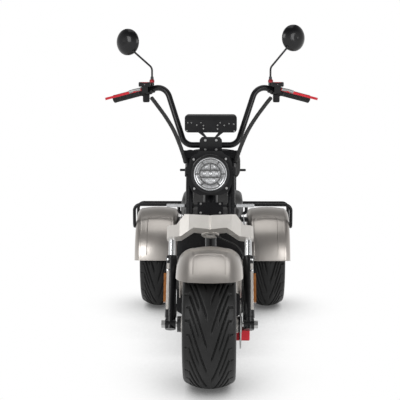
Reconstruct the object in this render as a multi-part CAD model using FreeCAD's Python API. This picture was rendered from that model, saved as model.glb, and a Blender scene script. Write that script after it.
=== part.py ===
import FreeCAD, Part
import math
import os

# Electric tricycle: one wide steered wheel in front, two driven wheels behind.
# Millimetres.  The front of the vehicle faces -Y, +X is the rider's left, +Z is up.
# The origin is on the floor, midway between the front tyre and the rear fenders.

os.makedirs("parts", exist_ok=True)

# ---- Driving dimensions ---------------------------------------------------------

WHEELBASE = 1400.0
TYRE_RADIUS = 238.0
TYRE_SECTION = 83.0
FRONT_TYRE_WIDTH = 194.0
REAR_TYRE_WIDTH = 170.0
REAR_TRACK = 550.0
BEAD_STEP = 12.0
RIM_WALL = 8.0
RIM_FLANGE = 8.0
SPOKES = 5

RAKE = 27.5
STEER_OFFSET = 40.0
LEG_SPACING = 293.0
STANCHION_RADIUS = 13.0
SLIDER_RADIUS = 19.5
SLIDER_TOP = 265.0
STANCHION_OVERLAP = 70.0
CROWN_BASE = 333.0
CROWN_DEPTH = 56.0
CROWN_HALF_WIDTH = 167.0
CROWN_FACET = 7.0
RISER_X = 82.0
RISER_RADIUS = 15.0
YOKE_HALF_WIDTH = 110.0
YOKE_HEIGHT = 34.0
AXLE_RADIUS = 10.0
AXLE_END = 6.0
FRONT_HUB_RADIUS = 30.0
DISC_RADIUS = 90.0
DISC_THICKNESS = 4.0

STEM_RADIUS = 15.0
HEAD_TUBE_RADIUS = 27.0
HEAD_TUBE_BASE = 428.0
HEAD_TUBE_LENGTH = 232.0
STEM_TOP = 706.0

FENDER_WALL = 4.0
FRONT_FENDER_RADIUS = 291.0
FRONT_FENDER_WIDTH = 244.0
FRONT_FENDER_START = 43.0
FRONT_FENDER_END = 165.0
FRONT_FENDER_CORNER = 66.0
REAR_FENDER_RADIUS = 268.0
REAR_FENDER_WIDTH = 211.0
REAR_FENDER_START = 8.0
REAR_FENDER_CORNER = 32.0
FENDER_SKIRT = 205.0

RAIL_TUBE = 8.0
RAIL_TOP = 533.0
RAIL_LOW = 420.0
RAIL_HALF_LENGTH = 120.0
RAIL_FALL = 18.0

FRAME_TUBE = 17.0
DOWN_TUBE = 23.0
FRAME_HALF_WIDTH = 110.0
FRAME_HEIGHT = 215.0
SEAT_RAIL_HEIGHT = 490.0
SEAT_RAIL_OVERHANG = 150.0
PAN_HALF_WIDTH = 140.0
PAN_BOTTOM = 155.0
PAN_TOP = 292.0
PAN_START = 378.0
PAN_LENGTH = 590.0
PAN_WALL = 4.0
BATTERY_WIDTH = 132.0
DECK_THICKNESS = 14.0
SHELL_HALF_WIDTH = 160.0
SHELL_WALL = 4.0

SEAT_START = 752.0
SEAT_END = 1318.0
SEAT_HALF_WIDTH = 150.0
SEAT_THICKNESS = 84.0
SEAT_PAN_THICKNESS = 10.0
BACKREST_HALF_WIDTH = 142.0
BACKREST_RISE = 152.0
BACKREST_HEIGHT = 168.0
BACKREST_FRONT = 1334.0
BACKREST_THICKNESS = 62.0

AXLE_TUBE_RADIUS = 28.0
MOTOR_RADIUS = 88.0
MOTOR_HALF_LENGTH = 76.0
SHAFT_RADIUS = 15.0
DRUM_RADIUS = 80.0
SHOCK_RADIUS = 23.0

BAR_RADIUS = 12.0
BAR_RISE = 648.0
BAR_BEND_RISE = 239.0
BAR_END_RISE = 184.0
GRIP_RADIUS = 17.0
LEVER_TIP = 445.0
MIRROR_RADIUS = 54.0
MIRROR_RISE = 432.0
MIRROR_BACK = 107.2
MIRROR_TURN = 31.0
HEADLIGHT_RADIUS = 75.0
HEADLIGHT_RIM = 10.0
HEADLIGHT_BOWL = 28.0
HEADLIGHT_RISE = 546.0
HEADLIGHT_FRONT = 190.0
DISPLAY_HALF_WIDTH = 104.0
DISPLAY_RISE = 52.0

FIT = 0.05
SEAT_GAP = 0.3

FRONT_Y = -(WHEELBASE + REAR_FENDER_RADIUS - TYRE_RADIUS) / 2
REAR_Y = FRONT_Y + WHEELBASE
BEAD_RADIUS = TYRE_RADIUS - TYRE_SECTION
LEG_X = LEG_SPACING / 2
AXLE_HALF_LENGTH = LEG_X + SLIDER_RADIUS + AXLE_END
REAR_WHEEL_X = REAR_TRACK / 2
REAR_FENDER_X = REAR_WHEEL_X + 2
BAR_HEIGHT = TYRE_RADIUS + BAR_RISE
DISPLAY_BASE = BAR_HEIGHT + DISPLAY_RISE
HEADLIGHT_HEIGHT = TYRE_RADIUS + HEADLIGHT_RISE
BACKREST_BOTTOM = SEAT_RAIL_HEIGHT + BACKREST_RISE
BACKREST_TOP = BACKREST_BOTTOM + BACKREST_HEIGHT
SIN_RAKE = math.sin(math.radians(RAKE))
COS_RAKE = math.cos(math.radians(RAKE))

ORIGIN = FreeCAD.Vector(0, 0, 0)
X_AXIS = FreeCAD.Vector(1, 0, 0)
Y_AXIS = FreeCAD.Vector(0, 1, 0)
Z_AXIS = FreeCAD.Vector(0, 0, 1)


# ---- Shape helpers --------------------------------------------------------------

def vec(x, y, z):
    return FreeCAD.Vector(x, y, z)


def save(name, shape):
    shape.exportStep(f"parts/{name}.step")


def box(x0, x1, y0, y1, z0, z1):
    return Part.makeBox(x1 - x0, y1 - y0, z1 - z0, vec(x0, y0, z0))


def rod(start, end, radius):
    """Round bar between two points."""
    run = end - start
    return Part.makeCylinder(radius, run.Length, start, run)


def cone(start, end, radius_start, radius_end):
    run = end - start
    return Part.makeCone(radius_start, radius_end, run.Length, start, run)


def fused(shapes):
    whole = shapes[0]
    for shape in shapes[1:]:
        whole = whole.fuse(shape)
    return whole.removeSplitter()


def group(shapes):
    return Part.makeCompound(shapes)


def mirrored(shape):
    return shape.mirror(ORIGIN, X_AXIS)


def both_sides(shape):
    return group([shape, mirrored(shape)])


def outline(points):
    """Face bounded by straight runs through the points, in order."""
    closed = points + points[:1]
    return Part.Face(Part.makePolygon(closed))


def side_plate(points, x0, x1):
    """Plate with a side-view outline of (y, z) points, from x0 to x1."""
    face = outline([vec(x0, y, z) for y, z in points])
    return face.extrude(vec(x1 - x0, 0, 0))


def front_plate(points, y0, y1):
    """Plate with a front-view outline of (x, z) points, from y0 to y1."""
    face = outline([vec(x, y0, z) for x, z in points])
    return face.extrude(vec(0, y1 - y0, 0))


def rounded_block(half, y0, y1, z0, z1, radius):
    """Block along Y whose front view is a rectangle with round corners."""
    block = box(-half, half, y0, y1, z0, z1)
    corners = [edge for edge in block.Edges if abs(edge.Vertexes[0].Y - edge.Vertexes[1].Y) > 1]
    return block.makeFillet(radius, corners)


def route(points, bend):
    """Wire of straight runs joined by tangent arcs; bend is one radius or one per corner."""
    corners = points[1:-1]
    bends = bend if isinstance(bend, list) else [bend] * len(corners)
    edges = []
    last = points[0]
    for index, corner in enumerate(corners):
        before = (points[index] - corner).normalize()
        after = (points[index + 2] - corner).normalize()
        half = before.getAngle(after) / 2
        reach = bends[index] / math.tan(half)
        start = corner + before * reach
        end = corner + after * reach
        centre_line = (before + after).normalize()
        middle = corner + centre_line * (bends[index] / math.sin(half) - bends[index])
        edges.append(Part.makeLine(last, start))
        edges.append(Part.Arc(start, middle, end).toShape())
        last = end
    edges.append(Part.makeLine(last, points[-1]))
    return Part.Wire(edges)


def free_bends(points):
    """Largest easy arc at each corner of a cable's route."""
    radii = []
    for index, corner in enumerate(points[1:-1]):
        before = points[index] - corner
        after = points[index + 2] - corner
        turn = math.pi - before.getAngle(after)
        radii.append(0.45 * min(before.Length, after.Length) / math.tan(turn / 2))
    return radii


def tube(points, radius, bend):
    """Round bar swept along straight runs and tangent arcs."""
    path = route(points, bend)
    circle = Part.Wire(Part.makeCircle(radius, points[0], points[1] - points[0]))
    return path.makePipeShell([circle], True, True)


def cable(name, points, radius):
    radii = free_bends(points)
    print(name, "bend radii", [round(r) for r in radii])
    shape = tube(points, radius, radii)
    expected = math.pi * radius ** 2 * route(points, radii).Length
    print(name, "volume ratio", round(shape.Volume / expected, 4))
    return shape


def spin(points_face, centre_x, centre_y, start, end):
    """Sweep a face of (x, 0, radius) points about a wheel axis; angles rise from the front."""
    face = points_face.copy()
    face.rotate(ORIGIN, X_AXIS, 90)
    face.rotate(ORIGIN, X_AXIS, -start)
    swept = face.revolve(ORIGIN, vec(-1, 0, 0), end - start)
    swept.translate(vec(centre_x, centre_y, TYRE_RADIUS))
    return swept


def fork_place(shape):
    """Move a shape drawn along an upright fork (axle at the origin) to its raked place."""
    placed = shape.copy()
    placed.rotate(ORIGIN, X_AXIS, -RAKE)
    placed.translate(vec(0, FRONT_Y, TYRE_RADIUS))
    return placed


def fork_point(x, back, along):
    y = FRONT_Y + back * COS_RAKE + along * SIN_RAKE
    z = TYRE_RADIUS - back * SIN_RAKE + along * COS_RAKE
    return vec(x, y, z)


# ---- Wheels ---------------------------------------------------------------------

def tyre_face(width):
    half = width / 2
    shoulder = half - 16
    bead = half - BEAD_STEP
    top = TYRE_RADIUS
    edges = []
    for side in (-1, 1):
        seat_edge = vec(side * bead, 0, BEAD_RADIUS)
        low = vec(side * bead, 0, BEAD_RADIUS + RIM_FLANGE + 1)
        belly = vec(side * (half - 4), 0, BEAD_RADIUS + 24)
        wide = vec(side * half, 0, top - 42)
        round_mid = vec(side * (half - 4), 0, top - 29)
        corner = vec(side * shoulder, 0, top - 20)
        edges.append(Part.makeLine(seat_edge, low))
        edges.append(Part.Arc(low, belly, wide).toShape())
        edges.append(Part.Arc(wide, round_mid, corner).toShape())
    crown = Part.Arc(vec(-shoulder, 0, top - 20), vec(0, 0, top), vec(shoulder, 0, top - 20))
    edges.append(crown.toShape())
    edges.append(Part.makeLine(vec(-bead, 0, BEAD_RADIUS), vec(bead, 0, BEAD_RADIUS)))
    return Part.Face(Part.Wire(Part.__sortEdges__(edges)))


def tyre(width, x, y):
    return spin(tyre_face(width), x, y, 0, 360)


def rim_face(width):
    seat = BEAD_RADIUS - SEAT_GAP
    inner = seat - RIM_WALL
    lip = width / 2 - BEAD_STEP + SEAT_GAP
    edge = lip + 5
    flange = BEAD_RADIUS + RIM_FLANGE
    right = [(lip, seat), (lip, flange), (edge, flange), (edge, seat - 3), (edge - 14, inner)]
    left = [(-x, r) for x, r in reversed(right)]
    return outline([vec(x, 0, r) for x, r in right + left])


def spoke(face_x, thickness, hub_radius):
    """One tapered spoke standing up from the hub."""
    tip = BEAD_RADIUS - RIM_WALL
    points = [(-19, hub_radius - 6), (19, hub_radius - 6), (12, tip), (-12, tip)]
    face = outline([vec(face_x - thickness / 2, y, z) for y, z in points])
    return face.extrude(vec(thickness, 0, 0))


def rim(width, x, y, hub, spoke_x, bore_radius):
    """Alloy rim; hub is (inner x, outer x, radius) from the wheel centre."""
    parts = [spin(rim_face(width), 0, 0, 0, 360)]
    axis_start = vec(hub[0], 0, TYRE_RADIUS)
    parts.append(rod(axis_start, vec(hub[1], 0, TYRE_RADIUS), hub[2]))
    for index in range(SPOKES):
        arm = spoke(spoke_x, 26, hub[2])
        arm.rotate(ORIGIN, X_AXIS, index * 360 / SPOKES)
        arm.translate(vec(0, 0, TYRE_RADIUS))
        parts.append(arm)
    whole = fused(parts)
    bore = rod(vec(hub[0] - 50, 0, TYRE_RADIUS), vec(hub[1] + 50, 0, TYRE_RADIUS), bore_radius)
    whole = whole.cut(bore)
    whole.translate(vec(x, y, 0))
    return whole


FRONT_HUB_HALF = LEG_X - SLIDER_RADIUS - 6


def front_rim():
    hub = (-FRONT_HUB_HALF, FRONT_HUB_HALF, FRONT_HUB_RADIUS)
    return rim(FRONT_TYRE_WIDTH, 0, FRONT_Y, hub, 0, AXLE_RADIUS + FIT)


DISC_X = FRONT_HUB_HALF - 6


def front_disc():
    """Vented brake disc seated round the hub on the rider's left."""
    centre = vec(DISC_X - DISC_THICKNESS / 2, FRONT_Y, TYRE_RADIUS)
    plate = Part.makeCylinder(DISC_RADIUS, DISC_THICKNESS, centre, X_AXIS)
    plate = plate.cut(Part.makeCylinder(FRONT_HUB_RADIUS + FIT, DISC_THICKNESS, centre, X_AXIS))
    for index in range(10):
        angle = index * math.tau / 10
        slot = vec(centre.x, centre.y + 47 * math.cos(angle), centre.z + 47 * math.sin(angle))
        plate = plate.cut(Part.makeCylinder(9, DISC_THICKNESS, slot, X_AXIS))
    return plate


REAR_HUB_INNER = REAR_WHEEL_X - 85
REAR_HUB_OUTER = REAR_WHEEL_X + 55


def rear_rim(side):
    """Rear rim with its brake drum on the inboard side, dished outwards."""
    hub = (REAR_HUB_INNER - REAR_WHEEL_X, REAR_HUB_OUTER - REAR_WHEEL_X, 40)
    whole = rim(REAR_TYRE_WIDTH, REAR_WHEEL_X, REAR_Y, hub, 35, SHAFT_RADIUS + FIT)
    drum_start = vec(REAR_HUB_INNER, REAR_Y, TYRE_RADIUS)
    drum = Part.makeCylinder(DRUM_RADIUS, 42, drum_start, X_AXIS)
    drum = drum.cut(Part.makeCylinder(SHAFT_RADIUS + FIT, 42, drum_start, X_AXIS))
    whole = whole.fuse(drum)
    return whole if side > 0 else mirrored(whole)


# ---- Fork and front end ---------------------------------------------------------

RISER_SEAT = 62.0


def crown_plan(base):
    """Block with the crown's outline from above: raised middle facets and chamfered ends."""
    half = CROWN_HALF_WIDTH
    face = -CROWN_DEPTH / 2
    right = [(0, face - 3), (6, face - CROWN_FACET), (82, face - CROWN_FACET), (118, face),
             (half - 10, face), (half, face + 14), (half, CROWN_DEPTH / 2 - 10),
             (half - 8, CROWN_DEPTH / 2)]
    left = [(-x, y) for x, y in reversed(right[1:])]
    corners = [vec(x, y, base - 5) for x, y in right + left]
    return outline(corners).extrude(vec(0, 0, 110))


def fork_crown():
    """Gull-wing fork crown: dropped ends that clamp the tubes, raised middle on the stem."""
    half = CROWN_HALF_WIDTH
    base = CROWN_BASE
    right = [(0, base + 88), (100, base + 93), (130, base + 52), (half, base + 48),
             (half, base), (112, base + 5), (64, base + 38), (0, base + 31)]
    left = [(-x, z) for x, z in reversed(right[1:-1])]
    front = -CROWN_DEPTH / 2 - CROWN_FACET
    wing = front_plate(right + left, front, CROWN_DEPTH / 2)
    wing = wing.common(crown_plan(base))
    boss = Part.makeCylinder(34, 57, vec(0, STEER_OFFSET, base + 31), Z_AXIS)
    crown = wing.fuse(boss)
    for x in (-RISER_X, RISER_X):
        socket = Part.makeCylinder(RISER_RADIUS + FIT, 60, vec(x, 0, base + RISER_SEAT), Z_AXIS)
        crown = crown.cut(socket)
    for x in (-LEG_X, LEG_X):
        hole = Part.makeCylinder(STANCHION_RADIUS + FIT, 60, vec(x, 0, base - 5), Z_AXIS)
        crown = crown.cut(hole)
    stem_hole = Part.makeCylinder(STEM_RADIUS + FIT, 70, vec(0, STEER_OFFSET, base + 25), Z_AXIS)
    return fork_place(crown.cut(stem_hole).removeSplitter())


def steering_stem():
    base = CROWN_BASE + 34
    stem = Part.makeCylinder(STEM_RADIUS, STEM_TOP - base, vec(0, STEER_OFFSET, base), Z_AXIS)
    return fork_place(stem)


YOKE_BASE = HEAD_TUBE_BASE + HEAD_TUBE_LENGTH + 6


def riser_tubes():
    """Two tubes from sockets in the crown up through the yoke under the handlebar."""
    base = CROWN_BASE + RISER_SEAT
    top = YOKE_BASE + YOKE_HEIGHT + 6
    tubes = []
    for x in (-RISER_X, RISER_X):
        tubes.append(fork_place(Part.makeCylinder(RISER_RADIUS, top - base, vec(x, 0, base), Z_AXIS)))
    return group(tubes)


def fork_tubes():
    length = CROWN_BASE + 50 - (SLIDER_TOP - STANCHION_OVERLAP)
    tubes = []
    for x in (-LEG_X, LEG_X):
        start = vec(x, 0, SLIDER_TOP - STANCHION_OVERLAP)
        tubes.append(fork_place(Part.makeCylinder(STANCHION_RADIUS, length, start, Z_AXIS)))
    return group(tubes)


FENDER_LUG = 236.0


def fork_slider():
    """Lower fork leg on +X with its axle lug and the fender lug."""
    body = Part.makeCylinder(SLIDER_RADIUS, SLIDER_TOP + 20, vec(LEG_X, 0, -20), Z_AXIS)
    seal = Part.makeCylinder(SLIDER_RADIUS + 2, 14, vec(LEG_X, 0, SLIDER_TOP - 14), Z_AXIS)
    collar = Part.makeCylinder(SLIDER_RADIUS + 2.5, 50, vec(LEG_X, 0, 26), Z_AXIS)
    lug_start = vec(LEG_X - SLIDER_RADIUS, 0, 0)
    lug = Part.makeCylinder(20, 2 * SLIDER_RADIUS, lug_start, X_AXIS)
    ear = box(LEG_X - SLIDER_RADIUS - 3, LEG_X, -12, 12, FENDER_LUG - 12, FENDER_LUG + 12)
    leg = fused([body, seal, collar, lug, ear])
    axle_hole = Part.makeCylinder(AXLE_RADIUS + FIT, 80, vec(LEG_X - 40, 0, 0), X_AXIS)
    bore_base = SLIDER_TOP - STANCHION_OVERLAP - 2
    tube_hole = Part.makeCylinder(STANCHION_RADIUS + FIT, 90, vec(LEG_X, 0, bore_base), Z_AXIS)
    return leg.cut(axle_hole).cut(tube_hole)


CALIPER_ANGLE = -38.0
CALIPER_REACH = 84.0
CALIPER_HALF_HEIGHT = 22.0


def caliper_centre():
    angle = math.radians(CALIPER_ANGLE)
    y = FRONT_Y + CALIPER_REACH * math.cos(angle)
    z = TYRE_RADIUS + CALIPER_REACH * math.sin(angle)
    return y, z


def fork_sliders():
    """Both lower legs; the one with the brake carries the caliper arm."""
    plain = fork_place(mirrored(fork_slider()))
    y, z = caliper_centre()
    inner = LEG_X - 12
    top = z + CALIPER_HALF_HEIGHT + SEAT_GAP
    arm = side_plate([(FRONT_Y - 4, TYRE_RADIUS - 18), (FRONT_Y + 10, TYRE_RADIUS + 14),
                      (y + 14, top + 8), (y + 16, top), (y - 20, top)], inner, inner + 8)
    hole = Part.makeCylinder(AXLE_RADIUS + FIT, 80, vec(inner - 30, FRONT_Y, TYRE_RADIUS), X_AXIS)
    brake_leg = fork_place(fork_slider()).fuse(arm).cut(hole)
    return group([plain, brake_leg.removeSplitter()])


def front_axle():
    """Wheel spindle with a hexagon nut outside each leg."""
    start = vec(-AXLE_HALF_LENGTH, FRONT_Y, TYRE_RADIUS)
    spindle = Part.makeCylinder(AXLE_RADIUS, 2 * AXLE_HALF_LENGTH, start, X_AXIS)
    parts = [spindle]
    nut_x = LEG_X + SLIDER_RADIUS + SEAT_GAP
    for side in (-1, 1):
        corners = []
        for index in range(6):
            angle = index * math.pi / 3
            y = FRONT_Y + 15 * math.cos(angle)
            z = TYRE_RADIUS + 15 * math.sin(angle)
            corners.append(vec(side * nut_x, y, z))
        parts.append(outline(corners).extrude(vec(side * 14, 0, 0)))
    return fused(parts)


def front_caliper():
    """Twin-piston caliper that straddles the disc's rear edge."""
    y, z = caliper_centre()
    low = DISC_X - 19
    high = LEG_X + 5
    body = box(low, high, y - 26, y + 22, z - CALIPER_HALF_HEIGHT, z + CALIPER_HALF_HEIGHT)
    body = body.makeFillet(5, body.Edges)
    gap = DISC_THICKNESS / 2 + 1.5
    slot = Part.makeCylinder(DISC_RADIUS + 3, 2 * gap, vec(DISC_X - gap, FRONT_Y, TYRE_RADIUS), X_AXIS)
    return body.cut(slot)


def arch_face(half, crown, corner, base):
    """Fender section: flat-crowned arch with round corners and straight skirts."""
    sag = 6
    top = crown - sag
    slant = corner * (1 - math.sqrt(0.5))
    edges = [Part.makeLine(vec(-half, 0, base), vec(half, 0, base))]
    for side in (-1, 1):
        foot = vec(side * half, 0, base)
        start = vec(side * half, 0, top - corner)
        middle = vec(side * (half - slant), 0, top - slant)
        end = vec(side * (half - corner), 0, top)
        edges.append(Part.makeLine(foot, start))
        edges.append(Part.Arc(start, middle, end).toShape())
    left = vec(corner - half, 0, top)
    right = vec(half - corner, 0, top)
    edges.append(Part.Arc(left, vec(0, 0, crown), right).toShape())
    return Part.Face(Part.Wire(Part.__sortEdges__(edges)))


def fender(width, crown, corner, base, x, y, start, end):
    """Arched shell open towards the tyre."""
    half = width / 2
    outer = arch_face(half, crown, corner, base)
    inner = arch_face(half - FENDER_WALL, crown - FENDER_WALL, corner - FENDER_WALL, base - 1)
    return spin(outer.cut(inner).Faces[0], x, y, start, end)


def front_fender():
    """Front mudguard with a bracket block on each side at the fork lugs."""
    shell = fender(FRONT_FENDER_WIDTH, FRONT_FENDER_RADIUS, FRONT_FENDER_CORNER, 214, 0, FRONT_Y,
                   FRONT_FENDER_START, FRONT_FENDER_END)
    start = math.radians(FRONT_FENDER_START)
    level = TYRE_RADIUS + FRONT_FENDER_RADIUS * math.sin(start)
    below = box(-FRONT_FENDER_WIDTH, FRONT_FENDER_WIDTH, FRONT_Y - FRONT_FENDER_RADIUS, FRONT_Y - 70,
                TYRE_RADIUS, level)
    shell = shell.cut(below)
    inner = FRONT_FENDER_WIDTH / 2 - 1
    outer = LEG_X - SLIDER_RADIUS - 3 - SEAT_GAP
    bracket = fork_place(box(inner, outer, -12, 12, FENDER_LUG - 12, FENDER_LUG + 12))
    return fused([shell, bracket, mirrored(bracket)])


def fork_reflectors():
    """Amber side reflectors on the outside of the lower legs."""
    outer = LEG_X + SLIDER_RADIUS
    plate = box(outer - 2, outer + 9, -9, 9, 84, 196)
    shaft = Part.makeCylinder(SLIDER_RADIUS + SEAT_GAP, 130, vec(LEG_X, 0, 76), Z_AXIS)
    plate = plate.cut(shaft)
    return group([fork_place(plate), fork_place(mirrored(plate))])


# ---- Headlight, lamps and display -----------------------------------------------

def headlight_housing():
    """Deep round bowl that narrows at the back and is open in front for the lens."""
    r = HEADLIGHT_RADIUS
    drum = Part.makeCylinder(r, 36, ORIGIN, Y_AXIS)
    waist = Part.makeCone(r, r - 16, 34, vec(0, 36, 0), Y_AXIS)
    back = Part.makeCone(r - 16, 22, 20, vec(0, 70, 0), Y_AXIS)
    bowl = fused([drum, waist, back])
    bowl = bowl.cut(Part.makeCylinder(r - HEADLIGHT_RIM, HEADLIGHT_BOWL, ORIGIN, Y_AXIS))
    bowl.translate(vec(0, FRONT_Y + HEADLIGHT_FRONT, HEADLIGHT_HEIGHT))
    return bowl


def headlight_lens():
    """Clear lens with a bevelled front in the mouth of the bowl."""
    r = HEADLIGHT_RADIUS - HEADLIGHT_RIM - SEAT_GAP
    disc = Part.makeCylinder(r, 5, vec(0, 1, 0), Y_AXIS)
    front = Part.makeCone(r - 22, r, 4, vec(0, -3, 0), Y_AXIS)
    lens = disc.fuse(front)
    lens.translate(vec(0, FRONT_Y + HEADLIGHT_FRONT, HEADLIGHT_HEIGHT))
    return lens


def headlight_bracket():
    """Plate round the lamp on two arms that clamp the riser tubes."""
    face = FRONT_Y + HEADLIGHT_FRONT + 24
    z = HEADLIGHT_HEIGHT
    half = HEADLIGHT_RADIUS + 10
    right = [(44, 88), (52, 78), (74, 66), (half, 38), (half, -38), (72, -70), (40, -84)]
    points = [(x, z + dz) for x, dz in right] + [(-x, z + dz) for x, dz in reversed(right)]
    plate = front_plate(points, face, face + 5)
    plate = plate.cut(Part.makeCylinder(HEADLIGHT_RADIUS + FIT, 20, vec(0, face - 5, z), Y_AXIS))
    along = (z - TYRE_RADIUS) / COS_RAKE
    rings = []
    holes = []
    for x in (-RISER_X, RISER_X):
        rings.append(fork_place(Part.makeCylinder(RISER_RADIUS + 5, 32, vec(x, 0, along - 16), Z_AXIS)))
        holes.append(fork_place(Part.makeCylinder(RISER_RADIUS + FIT, 120, vec(x, 0, along - 60), Z_AXIS)))
        rings.append(box(x - 5, x + 5, face + 2, fork_point(0, 0, along).y, z - 10, z + 10))
    whole = fused([plate] + rings)
    lamp_clear = Part.makeCylinder(HEADLIGHT_RADIUS + FIT, 40, vec(0, face - 5, z), Y_AXIS)
    for hole in holes + [lamp_clear]:
        whole = whole.cut(hole)
    return whole


SIGNAL_ALONG = 141.0
SIGNAL_TIP = 172.0
SIGNAL_ROOT = 100.0


def signal_centre():
    return fork_point(0, 0, CROWN_BASE + SIGNAL_ALONG)


def front_signals():
    """Stick indicators on stalks either side of the stem."""
    centre = signal_centre()
    lamp = box(SIGNAL_ROOT, SIGNAL_TIP, centre.y - 9, centre.y + 9, centre.z - 6, centre.z + 6)
    lamp = lamp.makeFillet(4, lamp.Edges)
    return both_sides(lamp)


def signal_bracket():
    """Upright on the crown with the cross bar that carries both stick indicators."""
    centre = signal_centre()
    reach = SIGNAL_ROOT - SEAT_GAP
    bar = rod(vec(-reach, centre.y, centre.z), vec(reach, centre.y, centre.z), 4.5)
    upright = box(-50, 50, -5, 5, CROWN_BASE + 94, CROWN_BASE + SIGNAL_ALONG + 12)
    whole = bar.fuse(fork_place(upright))
    for x in (-RISER_X, RISER_X):
        ring = Part.makeCylinder(RISER_RADIUS + 2.5, 14, vec(x, 0, CROWN_BASE + SIGNAL_ALONG - 7), Z_AXIS)
        whole = whole.fuse(fork_place(ring))
    for x in (-RISER_X, RISER_X):
        socket = Part.makeCylinder(RISER_RADIUS + FIT, 400, vec(x, 0, CROWN_BASE), Z_AXIS)
        whole = whole.cut(fork_place(socket))
    return whole


RISER_DEPTH = 22.0


def bar_clamp():
    """Yoke on the stem and risers, with the two handlebar clamps and their front plate."""
    base = YOKE_BASE
    front = -RISER_RADIUS - 7
    back = STEER_OFFSET + 26
    plan = [(-YOKE_HALF_WIDTH, front), (YOKE_HALF_WIDTH, front), (YOKE_HALF_WIDTH, 22), (46, back),
            (-46, back), (-YOKE_HALF_WIDTH, 22)]
    block = outline([vec(x, y, base) for x, y in plan]).extrude(vec(0, 0, YOKE_HEIGHT))
    block = block.cut(Part.makeCylinder(STEM_RADIUS + FIT, 90, vec(0, STEER_OFFSET, base - 10), Z_AXIS))
    for x in (-RISER_X, RISER_X):
        block = block.cut(Part.makeCylinder(RISER_RADIUS + FIT, 90, vec(x, 0, base - 10), Z_AXIS))
    block = fork_place(block)
    saddle_y = bar_centre_y()
    risers = []
    for x in (-34, 34):
        post = side_plate(riser_outline(), x - 11, x + 11)
        risers.append(post)
    face_y = saddle_y - RISER_DEPTH
    face = front_plate([(-36, BAR_HEIGHT + 34), (36, BAR_HEIGHT + 34), (44, BAR_HEIGHT + 24),
                        (44, BAR_HEIGHT - 30), (-44, BAR_HEIGHT - 30), (-44, BAR_HEIGHT + 24)],
                       face_y - 5, face_y + 1)
    bore = rod(vec(-80, saddle_y, BAR_HEIGHT), vec(80, saddle_y, BAR_HEIGHT), BAR_RADIUS + FIT)
    return fused([block, face] + risers).cut(bore)


def bar_centre_y():
    return fork_point(0, STEER_OFFSET, (BAR_HEIGHT - TYRE_RADIUS) / COS_RAKE).y


def riser_outline():
    """Side view of one handlebar riser, from the stem block up round the bar."""
    base = fork_point(0, STEER_OFFSET, YOKE_BASE + YOKE_HEIGHT - 4)
    y = bar_centre_y()
    top = BAR_HEIGHT + BAR_RADIUS + 7
    depth = RISER_DEPTH
    return [(base.y - depth, base.z), (base.y + 18, base.z - 10), (y + depth, BAR_HEIGHT - 10),
            (y + depth, top), (y - depth, top), (y - depth, BAR_HEIGHT - 10)]


def display_housing():
    """Wide instrument housing above the lamp, on two arms from the lamp bracket."""
    y = FRONT_Y + 336
    half = DISPLAY_HALF_WIDTH
    z = DISPLAY_BASE
    body = side_plate([(y, z), (y - 6, z + 50), (y + 4, z + 66), (y + 46, z + 72), (y + 30, z)], -half, half)
    return body.common(rounded_block(half, y - 20, y + 60, z, z + 72, 15))


def display_arms():
    """Two flat arms between the display and the front plate of the bar clamps."""
    y = bar_centre_y() - RISER_DEPTH - 5
    arms = []
    for side in (-1, 1):
        low = BAR_HEIGHT + 34 + SEAT_GAP
        top = DISPLAY_BASE - SEAT_GAP
        points = [(side * 16, low), (side * 28, low), (side * 50, top), (side * 30, top)]
        arms.append(front_plate(points, y, y + 6))
    return group(arms)


# ---- Handlebar and controls -----------------------------------------------------

def bar_points():
    """Right half of the high bar, from the clamp out to the grip's end."""
    y = bar_centre_y()
    return [vec(0, y, BAR_HEIGHT), vec(106, y, BAR_HEIGHT), vec(186, y + 80, BAR_HEIGHT + BAR_BEND_RISE),
            vec(400, y + 171, BAR_HEIGHT + BAR_END_RISE)]


def handlebar():
    right = bar_points()[1:]
    left = [vec(-p.x, p.y, p.z) for p in reversed(right)]
    return tube(left + right, BAR_RADIUS, [60, 44, 44, 60])


def grip_span(start, end):
    """Two points on the outer straight of the bar, at distances from its last corner."""
    points = bar_points()
    run = (points[-1] - points[-2]).normalize()
    return points[-2] + run * start, points[-2] + run * end


BAR_END = (bar_points()[-1] - bar_points()[-2]).Length


MIRROR_CLAMP = (58.0, 70.0)
BRAKE_CLAMP = (72.0, 88.0)
SWITCH_CLAMP = (90.0, 114.0)
GRIP_START = 116.0


def grips():
    start, end = grip_span(GRIP_START, BAR_END + 8)
    sleeve = rod(start, end, GRIP_RADIUS)
    hole_start, hole_end = grip_span(GRIP_START - 10, BAR_END)
    sleeve = sleeve.cut(rod(hole_start, hole_end, BAR_RADIUS + FIT))
    return both_sides(sleeve)


def cylinder_body(grow):
    """Block of the left brake cylinder, or with grow the room it needs."""
    start, end = grip_span(*BRAKE_CLAMP)
    middle = start + (end - start) * 0.5
    return box(middle.x - grow, middle.x + 26 + grow, middle.y - 50 - grow, middle.y - 12 + grow,
               middle.z - 12 - grow, middle.z + 14 + grow)


def master_cylinders():
    """Brake cylinder with its clamp round the bar and the fluid cup on top."""
    start, end = grip_span(*BRAKE_CLAMP)
    clamp = rod(start, end, BAR_RADIUS + 8)
    hole_start, hole_end = grip_span(55, 120)
    middle = start + (end - start) * 0.5
    body = cylinder_body(0)
    cup = box(middle.x - 12, middle.x + 38, middle.y - 56, middle.y - 22, middle.z + 13, middle.z + 32)
    cup = cup.makeFillet(5, cup.Edges)
    whole = fused([clamp, body, cup]).cut(rod(hole_start, hole_end, BAR_RADIUS + FIT))
    return both_sides(whole)


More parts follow.
